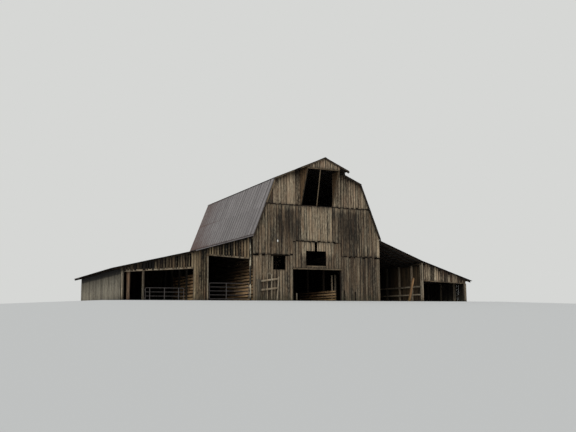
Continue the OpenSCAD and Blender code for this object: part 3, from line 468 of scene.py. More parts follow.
def studio_air():
    """Even light from all round. The camera and the gloss see a plain pale background."""
    world = bpy.data.worlds.new("studio_air")
    bpy.context.scene.world = world
    world.use_nodes = True
    tree = world.node_tree
    tree.nodes.clear()
    seen = place(tree, "ShaderNodeBackground", {"Color": paint(214, 215, 213), "Strength": 1.0})
    glow = place(tree, "ShaderNodeBackground", {"Color": (0.95, 0.98, 1.0, 1), "Strength": 0.62})
    path = place(tree, "ShaderNodeLightPath").outputs
    direct = greatest(tree, path["Is Camera Ray"], path["Is Glossy Ray"], path["Is Transmission Ray"])
    mixed = place(tree, "ShaderNodeMixShader", {0: direct, 1: glow.outputs[0], 2: seen.outputs[0]})
    place(tree, "ShaderNodeOutputWorld", {"Surface": mixed.outputs[0]})
    bpy.context.scene.view_settings.view_transform = "Standard"


# The workshop: shapes taken from the drawing, sawn, marked and stacked


def whole_shape(node):
    """A node's shape, its loose triangles joined into whole flat faces."""
    shape = bmesh.new()
    shape.from_mesh(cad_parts[node].data)
    bmesh.ops.remove_doubles(shape, verts=shape.verts, dist=0.0003)
    bmesh.ops.dissolve_limit(shape, angle_limit=math.radians(0.5), verts=shape.verts, edges=shape.edges)
    return shape


def solids(shape):
    """The separate solids of a shape, one at a time, in the order of their first corners."""
    shape.verts.index_update()
    taken = set()
    for first in shape.verts:
        if first.index in taken:
            continue
        found = {first.index}
        to_visit = [first]
        while to_visit:
            vert = to_visit.pop()
            for edge in vert.link_edges:
                other = edge.other_vert(vert)
                if other.index not in found:
                    found.add(other.index)
                    to_visit.append(other)
        taken |= found
        solid = shape.copy()
        spare = [vert for vert in solid.verts if vert.index not in found]
        bmesh.ops.delete(solid, geom=spare, context="VERTS")
        yield solid


def saw(solid, point, normal):
    """Saws a solid through. What lies on the normal's side falls away and the cut is closed."""
    geom = solid.verts[:] + solid.edges[:] + solid.faces[:]
    bmesh.ops.bisect_plane(solid, geom=geom, dist=0.00001, plane_co=point, plane_no=normal, clear_outer=True)
    rim = [edge for edge in solid.edges if edge.is_boundary]
    bmesh.ops.holes_fill(solid, edges=rim, sides=0)


def score(solid, point, normal):
    """Adds a ring of edges round a solid, where it may bend."""
    geom = solid.verts[:] + solid.edges[:] + solid.faces[:]
    bmesh.ops.bisect_plane(solid, geom=geom, dist=0.00001, plane_co=point, plane_no=normal)


def reach(solid, direction):
    """Least and greatest distance of a solid's points along a direction."""
    spans = [vert.co.dot(direction) for vert in solid.verts]
    return min(spans), max(spans)


def new_pile():
    """An empty stack of marked pieces, which becomes one object."""
    pile = bmesh.new()
    pile.verts.layers.float_vector.new("grain")
    pile.verts.layers.float_vector.new("board")
    pile.verts.layers.float.new("ends")
    pile.verts.layers.float.new("joint")
    return pile


def stack(pile, solid):
    """Adds a solid to a pile and uses it up."""
    scratch = bpy.data.meshes.new("scratch")
    bmesh.ops.recalc_face_normals(solid, faces=solid.faces)
    solid.to_mesh(scratch)
    solid.free()
    pile.from_mesh(scratch)
    bpy.data.meshes.remove(scratch)


def mark(solid, along, side, rng, tone, weather):
    """Writes on each point of a solid its place in the grain, its tone, its place between the edges, its
    weather and painted shade, its distance from the nearer end and how dirty the joint beside it is."""
    grain = solid.verts.layers.float_vector.new("grain")
    board = solid.verts.layers.float_vector.new("board")
    ends = solid.verts.layers.float.new("ends")
    joint = solid.verts.layers.float.new("joint")
    joints = (rng.random() ** 1.5, rng.random() ** 1.5)
    deep = along.cross(side)
    foot, head = reach(solid, along)
    left, right = reach(solid, side)
    shift_side = rng.uniform(-50, 50)
    shift_along = rng.uniform(-50, 50)
    for vert in solid.verts:
        lengthwise = vert.co.dot(along)
        sideways = vert.co.dot(side)
        vert[grain] = (sideways - left + shift_side, vert.co.dot(deep), lengthwise + shift_along)
        across = 2 * (sideways - left) / max(right - left, 0.001) - 1
        # a board or a sheet has the same weather and painted shade over its whole width
        vert[board] = (tone, across, weather(vert.co - side * (sideways - (left + right) / 2)))
        vert[ends] = min(lengthwise - foot, head - lengthwise)
        vert[joint] = joints[0] if across < 0 else joints[1]


def finish_piece(name, pile, finishes, slot, nodes, smooth_angle=None):
    """Turns a pile into one object of the barn, which stands in for the nodes."""
    mesh = bpy.data.meshes.new(name)
    pile.to_mesh(mesh)
    pile.free()
    for finish in finishes:
        mesh.materials.append(finish)
    piece = bpy.data.objects.new(name, mesh)
    bpy.context.scene.collection.objects.link(piece)
    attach(piece, "barn")
    if nodes:
        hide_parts(*nodes)
    if smooth_angle:
        mesh.set_sharp_from_angle(angle=math.radians(smooth_angle))
        for face in mesh.polygons:
            face.use_smooth = True


# Upright boards

UP = Vector((0, 0, 1))
BOARD_T = 0.021
BEND_STEP = 0.55
AXES = (Vector((1, 0, 0)), Vector((0, 1, 0)))


def board_edges(low, high, widths, rng):
    """Where the boards of a wall begin and end, in widths as they came from the mill."""
    edges = [low]
    while edges[-1] < high:
        edges.append(edges[-1] + rng.uniform(*widths))
    scale = (high - low) / (edges[-1] - low)
    edges = [low + (edge - low) * scale for edge in edges]
    return list(zip(edges, edges[1:]))


def split_boards(boards, start, end):
    """Rips the boards where a rotten strip lies, so that the strip is a board of its own."""
    ripped = []
    for low, high in boards:
        cuts = [low, *[cut for cut in (start, end) if low + 0.02 < cut < high - 0.02], high]
        ripped += zip(cuts, cuts[1:])
    return ripped


WALL_NAILS = []
BOARD_LIFT = 0.004
BOARD_TILT = 0.002
BOARD_BOW = 0.003
BOARD_SWAY = 0.007
EDGE_NIBBLE = 0.004
NAIL_INSET = 0.3
NAIL_MARGIN = 0.04
NAIL_DRIFT = (0.008, 0.02)
NAIL_BATCH = 80


def outer_face(board, deep):
    """Where a board's outer face lies, which way is inward from it, as 1 or -1, and how thick it is."""
    low, high = reach(board, AXES[deep])
    return (low, 1, high - low) if (low + high) / 2 < MIDDLE[deep] else (high, -1, high - low)


def drive_nails(board, run, heights, rng):
    """Notes two nails in a hung board at each height where a rail crosses behind it, unless the
    board is cut away there."""
    deep = 1 - run
    outer, inward, _ = outer_face(board, deep)
    out = AXES[deep] * -inward
    left, right = reach(board, AXES[run])
    foot, head = reach(board, UP)
    surface = BVHTree.FromBMesh(board)
    for height in heights:
        if foot + NAIL_MARGIN < height < head - NAIL_MARGIN:
            for side in (NAIL_INSET, 1 - NAIL_INSET):
                nail = Vector((0, 0, height + rng.uniform(-NAIL_DRIFT[1], NAIL_DRIFT[1])))
                nail[run] = left + (right - left) * side + rng.uniform(-NAIL_DRIFT[0], NAIL_DRIFT[0])
                nail[deep] = outer
                struck = surface.ray_cast(nail + out * 0.05, -out, 0.08)[0]
                if struck:
                    WALL_NAILS.append((struck + out * 0.001, out))


def nail_heads(name, places, finish, slot, radius):
    """All the nail or screw heads of one kind, each a low six-sided cone, as one piece."""
    pile = bmesh.new()
    for start in range(0, len(places), NAIL_BATCH):
        batch = bmesh.new()
        for where, out in places[start:start + NAIL_BATCH]:
            turn = out.to_track_quat("Z", "Y").to_matrix().to_4x4()
            bmesh.ops.create_cone(batch, cap_ends=True, segments=6, radius1=radius, radius2=radius * 0.55,
                                  depth=radius * 0.5, matrix=Matrix.Translation(where) @ turn)
        stack(pile, batch)
    finish_piece(name, pile, [finish], slot, [])


def hang_board(board, run, rng, wander):
    """Bends and shrinks one sawn board as the weather did, inside the wall's thickness."""
    deep = 1 - run
    outer, inward, thickness = outer_face(board, deep)
    left, right = reach(board, AXES[run])
    phase = rng.uniform(0, 100)
    lift = rng.uniform(0, BOARD_LIFT)
    tilt = rng.uniform(-BOARD_TILT, BOARD_TILT)
    for vert in board.verts:
        share = 2 * (vert.co[run] - left) / max(right - left, 0.001) - 1
        bow = noise.noise(Vector((phase, 0, vert.co.z * 0.7))) * BOARD_BOW
        dip = min(max(lift + tilt * share + bow, 0), thickness - BOARD_T)
        inner = abs(vert.co[deep] - outer) / thickness
        sway = noise.noise(Vector((phase, 5, vert.co.z * 0.5))) * BOARD_SWAY
        nibble = noise.noise(Vector((share * 3, phase, vert.co.z * 2.3))) * EDGE_NIBBLE
        vert.co[deep] = outer + inward * (dip + inner * BOARD_T)
        vert.co[run] += (sway + nibble) * wander


def upright_boards(node, run, finish, seed, slot="grey_boards", widths=(0.21, 0.31), gaps=(0.006, 0.032),
                   ragged=0.05, foot_gap=0.0, teeth=0.0, short=0.0, short_by=0.12, head_gap=(0.0, 0.0),
                   head_above=0.0, rotten=(), wander=1.0, tones=(0.1, 0.9), nails=(),
                   weather=lambda place_at: 0.4):
    """The node's wall as separate boards side by side along an axis, 0 for x and 1 for y, sawn out
    of its slab so that they end where it does. Feet are ragged, and every second one is up by the
    teeth. A share of the boards is short at the head, and those that reach over a height have a
    gap there. A rotten strip is given by its middle, its width and the height to which it is gone."""
    rng = random.Random(seed)
    pile = new_pile()
    axis = AXES[run]
    for wall in solids(whole_shape(node)):
        low, high = reach(wall, axis)
        boards = board_edges(low, high, widths, rng)
        for middle, width, _ in rotten:
            boards = split_boards(boards, middle - width / 2, middle + width / 2)
        for number, (start, end) in enumerate(boards):
            gap = gaps[0] + (gaps[1] - gaps[0]) * rng.random() ** 2
            board = wall.copy()
            saw(board, axis * (start + gap / 2), -axis)
            saw(board, axis * (end - gap / 2), axis)
            if not board.verts:
                continue
            foot, head = reach(board, UP)
            tooth = teeth if number % 2 else 0
            saw(board, UP * (foot + foot_gap + tooth + ragged * rng.random() ** 2), -UP)
            if head > head_above:
                saw(board, UP * (head - head_gap[0] - (head_gap[1] - head_gap[0]) * rng.random() ** 1.5), UP)
            if rng.random() < short:
                saw(board, UP * (head - short_by * rng.random()), UP)
            for middle, width, gone in rotten:
                if abs((start + end) / 2 - middle) < width / 4:
                    saw(board, UP * gone, -UP)
            foot, head = reach(board, UP)
            rings = max(int((head - foot) / BEND_STEP), 1)
            for ring in range(1, rings + 1):
                score(board, UP * (foot + (head - foot) * ring / (rings + 1)), UP)
            hang_board(board, run, rng, wander)
            drive_nails(board, run, nails, rng)
            mark(board, UP, axis, rng, rng.uniform(*tones), weather)
            stack(pile, board)
    finish_piece(node + "_boards", pile, [finish], slot, [node])


# Sawn timbers and logs

LONGEST_UPRIGHT = 12
LENGTH_STRAY = 0.12
LENGTH_GAP = 0.002
ROUND_CORNERS = 20
POLE_REACH = 0.2
POLE_GIRTH = 0.90
POLE_SWELL = 0.09
POLE_BEND = 0.05


def long_way(solid):
    """The direction of a timber's length and of its wider side."""
    runs = sorted(solid.edges, key=lambda edge: -edge.calc_length())
    along = (runs[0].verts[1].co - runs[0].verts[0].co).normalized()
    along = along if along.dot(Vector((1, 1.1, 1.2))) > 0 else -along
    for edge in runs:
        side = edge.verts[1].co - edge.verts[0].co
        side -= along * side.dot(along)
        if side.length > 0.5 * edge.calc_length() and side.length > 0.005:
            return along, side.normalized()
    return along, along.orthogonal().normalized()


def lengths(solid, along, longest, rng):
    """A long run as the shorter lengths that it was made of, butted end to end."""
    foot, head = reach(solid, along)
    count = math.ceil((head - foot) / longest)
    if count == 1:
        return [solid]
    marks = [foot + (head - foot) * (i + rng.uniform(-LENGTH_STRAY, LENGTH_STRAY)) / count
             for i in range(1, count)]
    marks = [foot - 1, *marks, head + 1]
    cut = []
    for start, end in zip(marks, marks[1:]):
        length = solid.copy()
        saw(length, along * (start + LENGTH_GAP), -along)
        saw(length, along * (end - LENGTH_GAP), along)
        cut.append(length)
    return cut


def bend(phase, place_along):
    """Which way a pole bends at a place of its length, from the same noise read at three spots."""
    return Vector([noise.noise(Vector((phase + apart, place_along, 0))) for apart in (0, 200, 400)])


def wear_timber(solid, along, rng, rough, chamfer, step):
    """Rounds a timber's long edges, then lets its faces wander inwards. Poles bend a little."""
    is_round = len(solid.verts) > ROUND_CORNERS
    if chamfer and not is_round:
        arrises = [edge for edge in solid.edges if edge.is_manifold and edge.calc_face_angle() > 0.5
                   and abs((edge.verts[1].co - edge.verts[0].co).normalized().dot(along)) > 0.9]
        bmesh.ops.bevel(solid, geom=arrises, offset=chamfer, segments=1, profile=0.5, affect="EDGES",
                        material=-1, clamp_overlap=True)
    foot, head = reach(solid, along)
    rings = int((head - foot) / (step / 2 if is_round else step))
    for ring in range(1, rings + 1):
        score(solid, along * (foot + (head - foot) * ring / (rings + 1)), along)
    phase = rng.uniform(0, 100)
    middle = sum((vert.co for vert in solid.verts), Vector()) / len(solid.verts)
    widest = max((vert.co - middle).cross(along).length for vert in solid.verts)
    is_pole = is_round and rough and widest < POLE_REACH
    for vert in solid.verts:
        length = along * (vert.co - middle).dot(along)
        away = vert.co - middle - length
        if is_pole:
            # a grown pole: slimmer than the drawing, so that its bends stay inside it
            swell = POLE_GIRTH + POLE_SWELL * noise.noise(Vector((phase, 0, 0)) + vert.co * 4)
            sway = bend(phase, length.dot(along))
            sway -= along * sway.dot(along)
            vert.co = middle + length + away * swell + sway * away.length * POLE_BEND
        elif away.length > 0.004:
            bump = 0.5 + 0.5 * noise.noise(Vector((phase, 0, 0)) + vert.co * 2.7)
            vert.co -= away.normalized() * min(bump * rough, away.length * 0.4)
        vert.co.z = max(vert.co.z, 0)
    if is_round:
        # bent faces are cut into triangles here, so that each run gives the same ones
        bmesh.ops.triangulate(solid, faces=solid.faces[:], quad_method="SHORT_EDGE", ngon_method="BEAUTY")


def timbers(node, finish, seed, slot="old_timber", longest=5.2, rough=0.004, chamfer=0.005, step=1.1,
            tones=(0.15, 0.85), weather=lambda place_at: 0.35, smooth_angle=None, others=(),
            which=lambda place_at: 0):
    """The node's timbers, each with its own grain and wear. Which finish a place has is told by its
    number: 0 for the first, and from 1 for the others."""
    rng = random.Random(seed)
    pile = new_pile()
    for solid in solids(whole_shape(node)):
        along, side = long_way(solid)
        is_upright = abs(along.z) > 0.9
        for length in lengths(solid, along, LONGEST_UPRIGHT if is_upright else longest, rng):
            wear_timber(length, along, rng, rough, chamfer, step)
            mark(length, along, side, rng, rng.uniform(*tones), weather)
            for face in length.faces:
                face.material_index = which(face.calc_center_median())
            stack(pile, length)
    finish_piece(node + "_worn", pile, [finish, *others], slot, [node], smooth_angle)


# Roofs of crimped sheets on open slats

SHEET_T = 0.0015
DECK_T = 0.030
CRIMP = 0.014
CRIMP_PITCH = 0.305
SHEET_DEPTH = 0.0065
SHEET_ROWS = 3
SHEET_LIFT = 0.0025
SHEET_SKEW = 0.004
SHEET_STRAY = 0.018
SHEET_SAG = 0.002
SHEET_LAP = 0.12
LONGEST_SHEET = 2.6
LEAST_SHEET_WIDTH = 0.25
SLAT_T = 0.021
SLAT_PITCH = 0.42
SLAT_WIDTHS = (0.09, 0.14)
SLAT_LENGTHS = (2.9, 4.9)
SLAT_INSET = 0.02
SLAT_TONES = (0.05, 0.7)
SCREW_INSET = 0.075
SCREW_SEAT = 0.007
BUTT_GAP = 0.003
STRIP_LENGTH = 2.44
STRIP_DROP = 0.06
STRIP_LAP = 0.05
STRIP_LIFT = 0.004
FLASHING_REACH = 0.11
FLASHING_LIFT = 0.012
BACK = AXES[1]


class Slope:
    """One straight course of a roof, from its head down to its foot, for one side of the ridge."""

    def __init__(self, side, head, foot, start=0.0, past=0.0):
        self.down = Vector((side * (foot[0] - head[0]), 0, foot[1] - head[1])).normalized()
        self.out = Vector((-self.down.z * side, 0, self.down.x * side))
        self.head = Vector((side * head[0], 0, head[1]))
        self.start = start
        self.end = math.hypot(foot[0] - head[0], foot[1] - head[1]) + past
        self.length = self.end - self.start

    def at(self, down, y, out):
        """A place on the slope: how far down it, how far back, and how far out of its surface."""
        place_on = self.head + self.down * down + self.out * out
        return spot(place_on.x, y, place_on.z)


def crimp_marks(y0, y1):
    """Where the crimps run, evenly spaced from front to back."""
    count = int((y1 - y0) / CRIMP_PITCH)
    first = y0 + (y1 - y0 - (count - 1) * CRIMP_PITCH) / 2
    return [first + i * CRIMP_PITCH for i in range(count)]


def sheet_line(start, end, crimps):
    """The stations across one sheet, and how high each lies: flat, and up over each crimp."""
    inside = [crimp for crimp in crimps if start - 0.02 < crimp < end + 0.02]
    line = [(start, 0.0)] if not inside or inside[0] > start + CRIMP else []
    for crimp in inside:
        line += [(crimp - CRIMP, 0.0), (crimp, CRIMP - 0.004), (crimp + CRIMP, 0.0)]
    if line[-1][0] < end - CRIMP:
        line.append((end, 0.0))
    return line


def lay_sheet(pile, slope, line, top, bottom, limits, rng):
    """One sheet, grown from a flat grid, with its own sag and a slightly lifted lower edge."""
    sheet = bmesh.new()
    bmesh.ops.create_grid(sheet, x_segments=len(line) - 1, y_segments=SHEET_ROWS, size=0.5)
    lift = rng.uniform(0, SHEET_LIFT)
    skew = rng.uniform(-SHEET_SKEW, SHEET_SKEW)
    lower = bottom - SHEET_STRAY * rng.random()
    phase = rng.uniform(0, 100)
    for vert in sheet.verts:
        y, height = line[round((vert.co.x + 0.5) * (len(line) - 1))]
        row = round((vert.co.y + 0.5) * SHEET_ROWS)
        down = top + (lower - top) * row / SHEET_ROWS
        sag = noise.noise(Vector((phase, y * 1.5, down))) * SHEET_SAG
        y = min(max(y + skew * row / SHEET_ROWS, limits[0]), limits[1])
        vert.co = slope.at(down, y, -SHEET_DEPTH + height + lift * row / SHEET_ROWS + sag)
    bmesh.ops.solidify(sheet, geom=sheet.faces[:], thickness=SHEET_T)
    bmesh.ops.recalc_face_normals(sheet, faces=sheet.faces)
    for face in sheet.faces:
        # faces turned downwards take the undersides' painted shade
        face.material_index = int(face.normal.z < 0)
    mark(sheet, -slope.down, BACK, rng, rng.random(), roof_weather)
    stack(pile, sheet)


def roof_sheets(name, slopes, span, finish, seed):
    """A roof as rows of sheets, each two crimps wide."""
    rng = random.Random(seed)
    pile = new_pile()
    crimps = crimp_marks(*span)
    joints = [span[0], *crimps[2::2], span[1]]
    if span[1] - joints[-2] < LEAST_SHEET_WIDTH:
        joints.pop(-2)
    for slope in slopes:
        rows = max(round(slope.length / LONGEST_SHEET), 1)
        for row in range(rows):
            top = slope.start + slope.length * row / rows - (SHEET_LAP if row else 0)
            bottom = slope.start + slope.length * (row + 1) / rows
            for start, end in zip(joints, joints[1:]):
                lay_sheet(pile, slope, sheet_line(start, end, crimps), top, bottom, span, rng)
    finish_piece(name + "_sheets", pile, [finish, SHADED_SHEET_UNDERSIDE], "roof_sheet", [name])


def slat_cuts(y0, y1, rng):
    """Where the slats of one row begin and end, in random lengths with no short one at the rear."""
    cuts = [y0 + 0.01]
    while cuts[-1] < y1 - 2.5:
        cuts.append(cuts[-1] + rng.uniform(*SLAT_LENGTHS))
    return [cuts[0], *[cut for cut in cuts[1:] if cut < y1 - 1.2], y1 - 0.01]


def lay_slat(pile, slope, down, width, start, end, rng):
    """One slat under the sheets, at its place down the slope and from front to back."""
    slat = bmesh.new()
    bmesh.ops.create_cube(slat, size=1)
    for vert in slat.verts:
        share = vert.co + Vector((0.5, 0.5, 0.5))
        y = start + BUTT_GAP + (end - start - 2 * BUTT_GAP) * share.y
        vert.co = slope.at(down + width * share.x, y, -DECK_T + 0.0008 + SLAT_T * share.z)
    for ring in (1, 2, 3):
        score(slat, spot(0, start + (end - start) * ring / 4, 0), BACK)
    mark(slat, BACK, slope.down, rng, rng.uniform(*SLAT_TONES), lambda place_at: 0.3)
    stack(pile, slat)


def roof_slats(name, slopes, span, finish, seed):
    """Rows of open slats under the sheets."""
    rng = random.Random(seed)
    pile = new_pile()
    for slope in slopes:
        count = max(round(slope.length / SLAT_PITCH), 2)
        for i in range(count):
            width = rng.uniform(*SLAT_WIDTHS)
            down = slope.start + SLAT_INSET + (slope.length - 2 * SLAT_INSET - width) * i / (count - 1)
            cuts = slat_cuts(*span, rng)
            for start, end in zip(cuts, cuts[1:]):
                lay_slat(pile, slope, down, width, start, end, rng)
    finish_piece(name + "_slats", pile, [finish], "old_timber", [])


ROOF_SCREWS = []


def drive_screws(slopes, span):
    """Notes a screw on every second crimp at every second slat."""
    for slope in slopes:
        count = max(round(slope.length / SLAT_PITCH), 2)
        for i in range(0, count, 2):
            down = slope.start + SCREW_INSET + (slope.length - 2 * SCREW_INSET) * i / (count - 1)
            for y in crimp_marks(*span)[::2]:
                ROOF_SCREWS.append((slope.at(down, y, CRIMP - SCREW_SEAT), slope.out))


def roof(name, slopes, span, finish, slat_finish, seed, slat_seed):
    """One roof's sheets, and the slats and screws that hold them."""
    roof_sheets(name, slopes, span, finish, seed)
    roof_slats(name, slopes, span, slat_finish, slat_seed)
    drive_screws(slopes, span)


def bent_strip(pile, profile, point_at, along, side, rng):
    """One strip of sheet, bent along its length to a profile of three points."""
    strip = bmesh.new()
    bmesh.ops.create_grid(strip, x_segments=8, y_segments=2, size=0.5)
    for vert in strip.verts:
        vert.co = point_at(vert.co.x + 0.5, *profile[round((vert.co.y + 0.5) * 2)])
    bmesh.ops.solidify(strip, geom=strip.faces[:], thickness=SHEET_T)
    mark(strip, along, side, rng, rng.random(), lambda place_at: 0.4)
    stack(pile, strip)


def eave_flashing(name, side, shed_head, shed_foot, finish, seed):
    """Bent strips that close the slit between the main roof's eave and the top of the shed roof."""
    rng = random.Random(seed)
    pile = new_pile()
    fall = (shed_foot[1] - shed_head[1]) / (shed_foot[0] - shed_head[0])
    wall_x = shed_head[0] + STRIP_LIFT
    profile = [(wall_x + FLASHING_REACH, shed_head[1] + FLASHING_REACH * fall + FLASHING_LIFT),
               (wall_x, shed_head[1] + FLASHING_LIFT), (wall_x, DRIP[1] - 0.014)]
    start = SHED_Y[0]
    while start < SHED_Y[1] - 0.1:
        end = min(start + STRIP_LENGTH, SHED_Y[1])
        lift = rng.uniform(0, 0.003)

        def point_at(share, x, z):
            y = start + (end - start) * share
            dent = abs(noise.noise(Vector((y * 3, z * 5, seed)))) * 0.003
            return spot(side * (x + dent), y, z + lift * (x > wall_x))

        bent_strip(pile, profile, point_at, BACK, UP, rng)
        start = end - STRIP_LAP
    finish_piece(name, pile, [finish], "roof_sheet", [])


def edge_strips(name, slope, y0, finish, seed):
    """Bent strips of sheet over the front edge of a roof, each lying over the slat ends."""
    rng = random.Random(seed)
    pile = new_pile()
    profile = [(0.05, STRIP_LIFT), (-0.003, STRIP_LIFT), (-0.003, STRIP_LIFT - STRIP_DROP)]
    count = max(round(slope.length / STRIP_LENGTH), 1)
    for i in range(count):

        def point_at(share, back, out):
            down = slope.start + slope.length * (i + share) / count
            dent = abs(noise.noise(Vector((down * 3, out * 50, seed)))) * 0.004
            return slope.at(down, y0 + back - dent, out)

        bent_strip(pile, profile, point_at, slope.down, slope.out, rng)
    finish_piece(name, pile, [finish], "roof_sheet", [])


# The finishes

# Each wood's stain colour is also the colour of the painted shade that its weather and shade mark lays on
# it.
WEATHERED = wood_finish("weathered_boards", (198, 181, 152), (58, 51, 41), (18, 17, 15),
                        (134, 100, 70), 0.5, 0.75, (54, 52, 38))
GABLE_BOARDS = wood_finish("gable_boards", (206, 188, 158), (54, 44, 34), (20, 17, 14),
                           (128, 92, 68), 0.5, 0.75, (54, 52, 38))
SHED_BOARDS = wood_finish("shed_front_boards", (182, 162, 128), (22, 19, 13), (6, 5, 4),
                          (112, 84, 60), 0.5, 0.6, (44, 40, 30))
CRIB_PLANKS = wood_finish("crib_planks", (228, 194, 148), (126, 96, 66), (24, 18, 12),
                          (196, 148, 98), 0.45, 0.6, (98, 82, 42))
SHELTERED = wood_finish("sheltered_planks", (130, 106, 78), (50, 39, 29), (18, 15, 12),
                        (116, 84, 56), 0.4, 0.5, (46, 40, 28))
TIMBER = wood_finish("rough_timber", (140, 124, 100), (54, 45, 35), (22, 19, 16),
                     (104, 82, 58), 0.45, 0.4, (50, 46, 34))
LOGS = wood_finish("bleached_logs", (176, 164, 142), (88, 78, 64), (28, 25, 21),
                   (132, 106, 78), 0.4, 0.4, (58, 54, 40))
BARK = wood_finish("bark_covered_log", (136, 116, 94), (70, 56, 45), (28, 22, 18),
                   (130, 92, 64), 0.4, 0.4, (70, 50, 36))
PEELED = peeling_finish("peeling_pole", (196, 184, 156), (128, 118, 102), (30, 26, 21))
# the sheets' undersides, painted dark as the shade inside the roof
SHADED_SHEET_UNDERSIDE = metal_finish("shaded_sheet_underside", (52, 47, 44), (26, 23, 21), 0.2, 0.0, 0.8)
SIDE_BOARDS = wood_finish("bleached_side_boards", (186, 177, 155), (72, 67, 57), (9, 8, 7),
                          (112, 98, 80), 0.6, 0.5, (52, 50, 40))
# timber under the eaves and the hood, painted dark as the shade under the overhang
SHADED_EAVE_TIMBER = wood_finish("shaded_eave_timber", (68, 57, 45), (32, 27, 22), (16, 14, 12),
                          (60, 47, 36), 0.4, 0.3, (40, 34, 26))
# timber inside the barn, painted dark as the shade there
SHADED_INNER_TIMBER = wood_finish("inside_shade_timber", (54, 43, 32), (24, 19, 15), (10, 8, 7),
                           (50, 37, 26), 0.5, 0.3, (26, 21, 16))
INNER_PLANKS = wood_finish("inner_planks", (92, 77, 55), (32, 26, 18), (10, 9, 7),
                           (84, 63, 42), 0.6, 0.5, (34, 28, 20))
MAIN_ROOF = roof_finish("main_roof_sheet", (182, 176, 174), (92, 85, 85), 0.10, FRONT_Y - 0.0825)
SHED_ROOF = roof_finish("shed_roof_sheet", (146, 139, 135), (78, 72, 69), 0.14, FRONT_Y + 0.07)
TRIM_SHEET = metal_finish("trim_sheet", (134, 128, 128), (96, 90, 88), 0.12, 0.35, 0.5)
GATE_STEEL = metal_finish("galvanised_tube", (94, 88, 85), (50, 46, 45), 0.10, 0.4, 0.5)
HOOK_STEEL = metal_finish("hook_steel", (92, 86, 80), (52, 46, 42), 0.30, 0.4, 0.5)
LAMP_ENAMEL = metal_finish("lamp_enamel", (248, 248, 244), (226, 226, 220), 0.0, 0.0, 0.4)


# How hard the weather has hit each place and how deep the painted shade on it is, from 0 where it is clean
# and lit towards 1 as it is stained and shaded. Past 1.8 the wood takes painted shade that stands for the
# dark inside the barn.

CORNER_X = 5.86
PANEL_X = (-2.15, 2.15)
PANEL_FOOT = 2.7
TIER_FEET = (4.0, 7.95)
CLEAN_BLOCK = (-1.75, 1.45)
EDGE_SOFTNESS = (0.45, 0.2)
STAIN_Z = 6.3
STAIN_HALF_HEIGHTS = (1.7, 2.3)
STAIN_REACHES = (2.2, 2.7)
RAILS_X = (-5.5, -3.8)
RAILS_TOP = 2.1
ROOF_SHADE = 0.65
WALL_SKIN = 0.012
# painted shade for the inner faces and the timbers deep inside the barn
PAINTED_INSIDE_SHADE = 3.0
REAR_FACE = 15.99
LEFT_SIDE_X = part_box("left_shed_side_wall")[0].x
RIGHT_SIDE_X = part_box("right_shed_side_wall")[1].x


def ramp(past, length):
    """From 0 at the start of a stretch to 1 at its end."""
    return min(max(past / length, 0), 1)


def under_roof(place_at, head, foot):
    """How much painted shade a sloping roof lays on a place: 1 close under it, 0 well below it."""
    rise = (foot[1] - head[1]) * (abs(place_at.x - RIDGE_X) - head[0]) / (foot[0] - head[0])
    return ramp(ROOF_SHADE - (head[1] + rise - place_at.z), 0.45)


def front_weather_and_shade(place_at):
    """Black on both shoulders of the middle tier, clean under the hay door, with a sharp edge. Painted shade
    darkens the gable close under the roof's edge and the wall behind the rails.
    """
    x = place_at.x - RIDGE_X
    z = place_at.z
    is_right = x >= 0
    if z > TIER_FEET[1]:
        # painted shade on the gable close under the roof's edge
        return 0.63 - 0.25 * (z - TIER_FEET[1]) / 4 + 1.1 * under_roof(place_at, RIDGE, KNUCKLE)
    if x > CORNER_X:
        return 0.0
    if z > TIER_FEET[0]:
        if CLEAN_BLOCK[0] < x < CLEAN_BLOCK[1]:
            return 0.25
        beside = x - CLEAN_BLOCK[1] if is_right else CLEAN_BLOCK[0] - x
        height = math.exp(-((z - STAIN_Z) / STAIN_HALF_HEIGHTS[is_right]) ** 2)
        near = math.exp(-(beside / STAIN_REACHES[is_right]) ** 4)
        return 0.9 + 1.05 * height * min(EDGE_SOFTNESS[is_right] + beside / 1.2, 1) * near
    if z > PANEL_FOOT and PANEL_X[0] < x < PANEL_X[1]:
        return 1.05
    # painted shadow of the rail panel on the wall behind it
    painted_rail_shadow = 0.5 if RAILS_X[0] < x < RAILS_X[1] and z < RAILS_TOP else 0
    return (0.95 if x < CLEAN_BLOCK[1] else 1.3) + painted_rail_shadow


def shed_weather_and_shade(place_at):
    """Painted shade under the long roof, darker towards its low end."""
    low_end = ramp(-11.2 - (place_at.x - RIDGE_X), 1.0)
    return 0.75 + 0.9 * under_roof(place_at, *LEFT_LINES[:2]) + 0.5 * low_end


def right_shed_weather_and_shade(place_at):
    """Painted shade under the roof, and painted light below it, lightest beside the open bay."""
    painted_bay_light = ramp(12.6 - (place_at.x - RIDGE_X), 1.5)
    return 0.5 + 1.1 * under_roof(place_at, *RIGHT_LINES[1:]) - 0.3 * painted_bay_light


def side_weather_and_shade(place_at):
    """The left side wall: a painted shadow under the eave, paler downwards, and painted shade on its inner
    face.
    """
    if place_at.x > LEFT_SIDE_X + WALL_SKIN:
        return PAINTED_INSIDE_SHADE
    paler_downwards = 1 - ramp(place_at.z - 1.0, 1.2)
    # painted shadow of the eave across the top of the wall
    return 0.9 - 0.6 * paler_downwards + 4.0 * ramp(place_at.z - 2.0, 0.3)


def right_side_weather_and_shade(place_at):
    """The right side wall, plain outside and with painted shade on its inner face."""
    return PAINTED_INSIDE_SHADE if place_at.x < RIGHT_SIDE_X - WALL_SKIN else 0.5


def rear_weather_and_shade(place_at):
    """Plain outside, with painted shade on the inner faces."""
    return 0.45 if place_at.y > FRONT_Y + REAR_FACE else 2.2


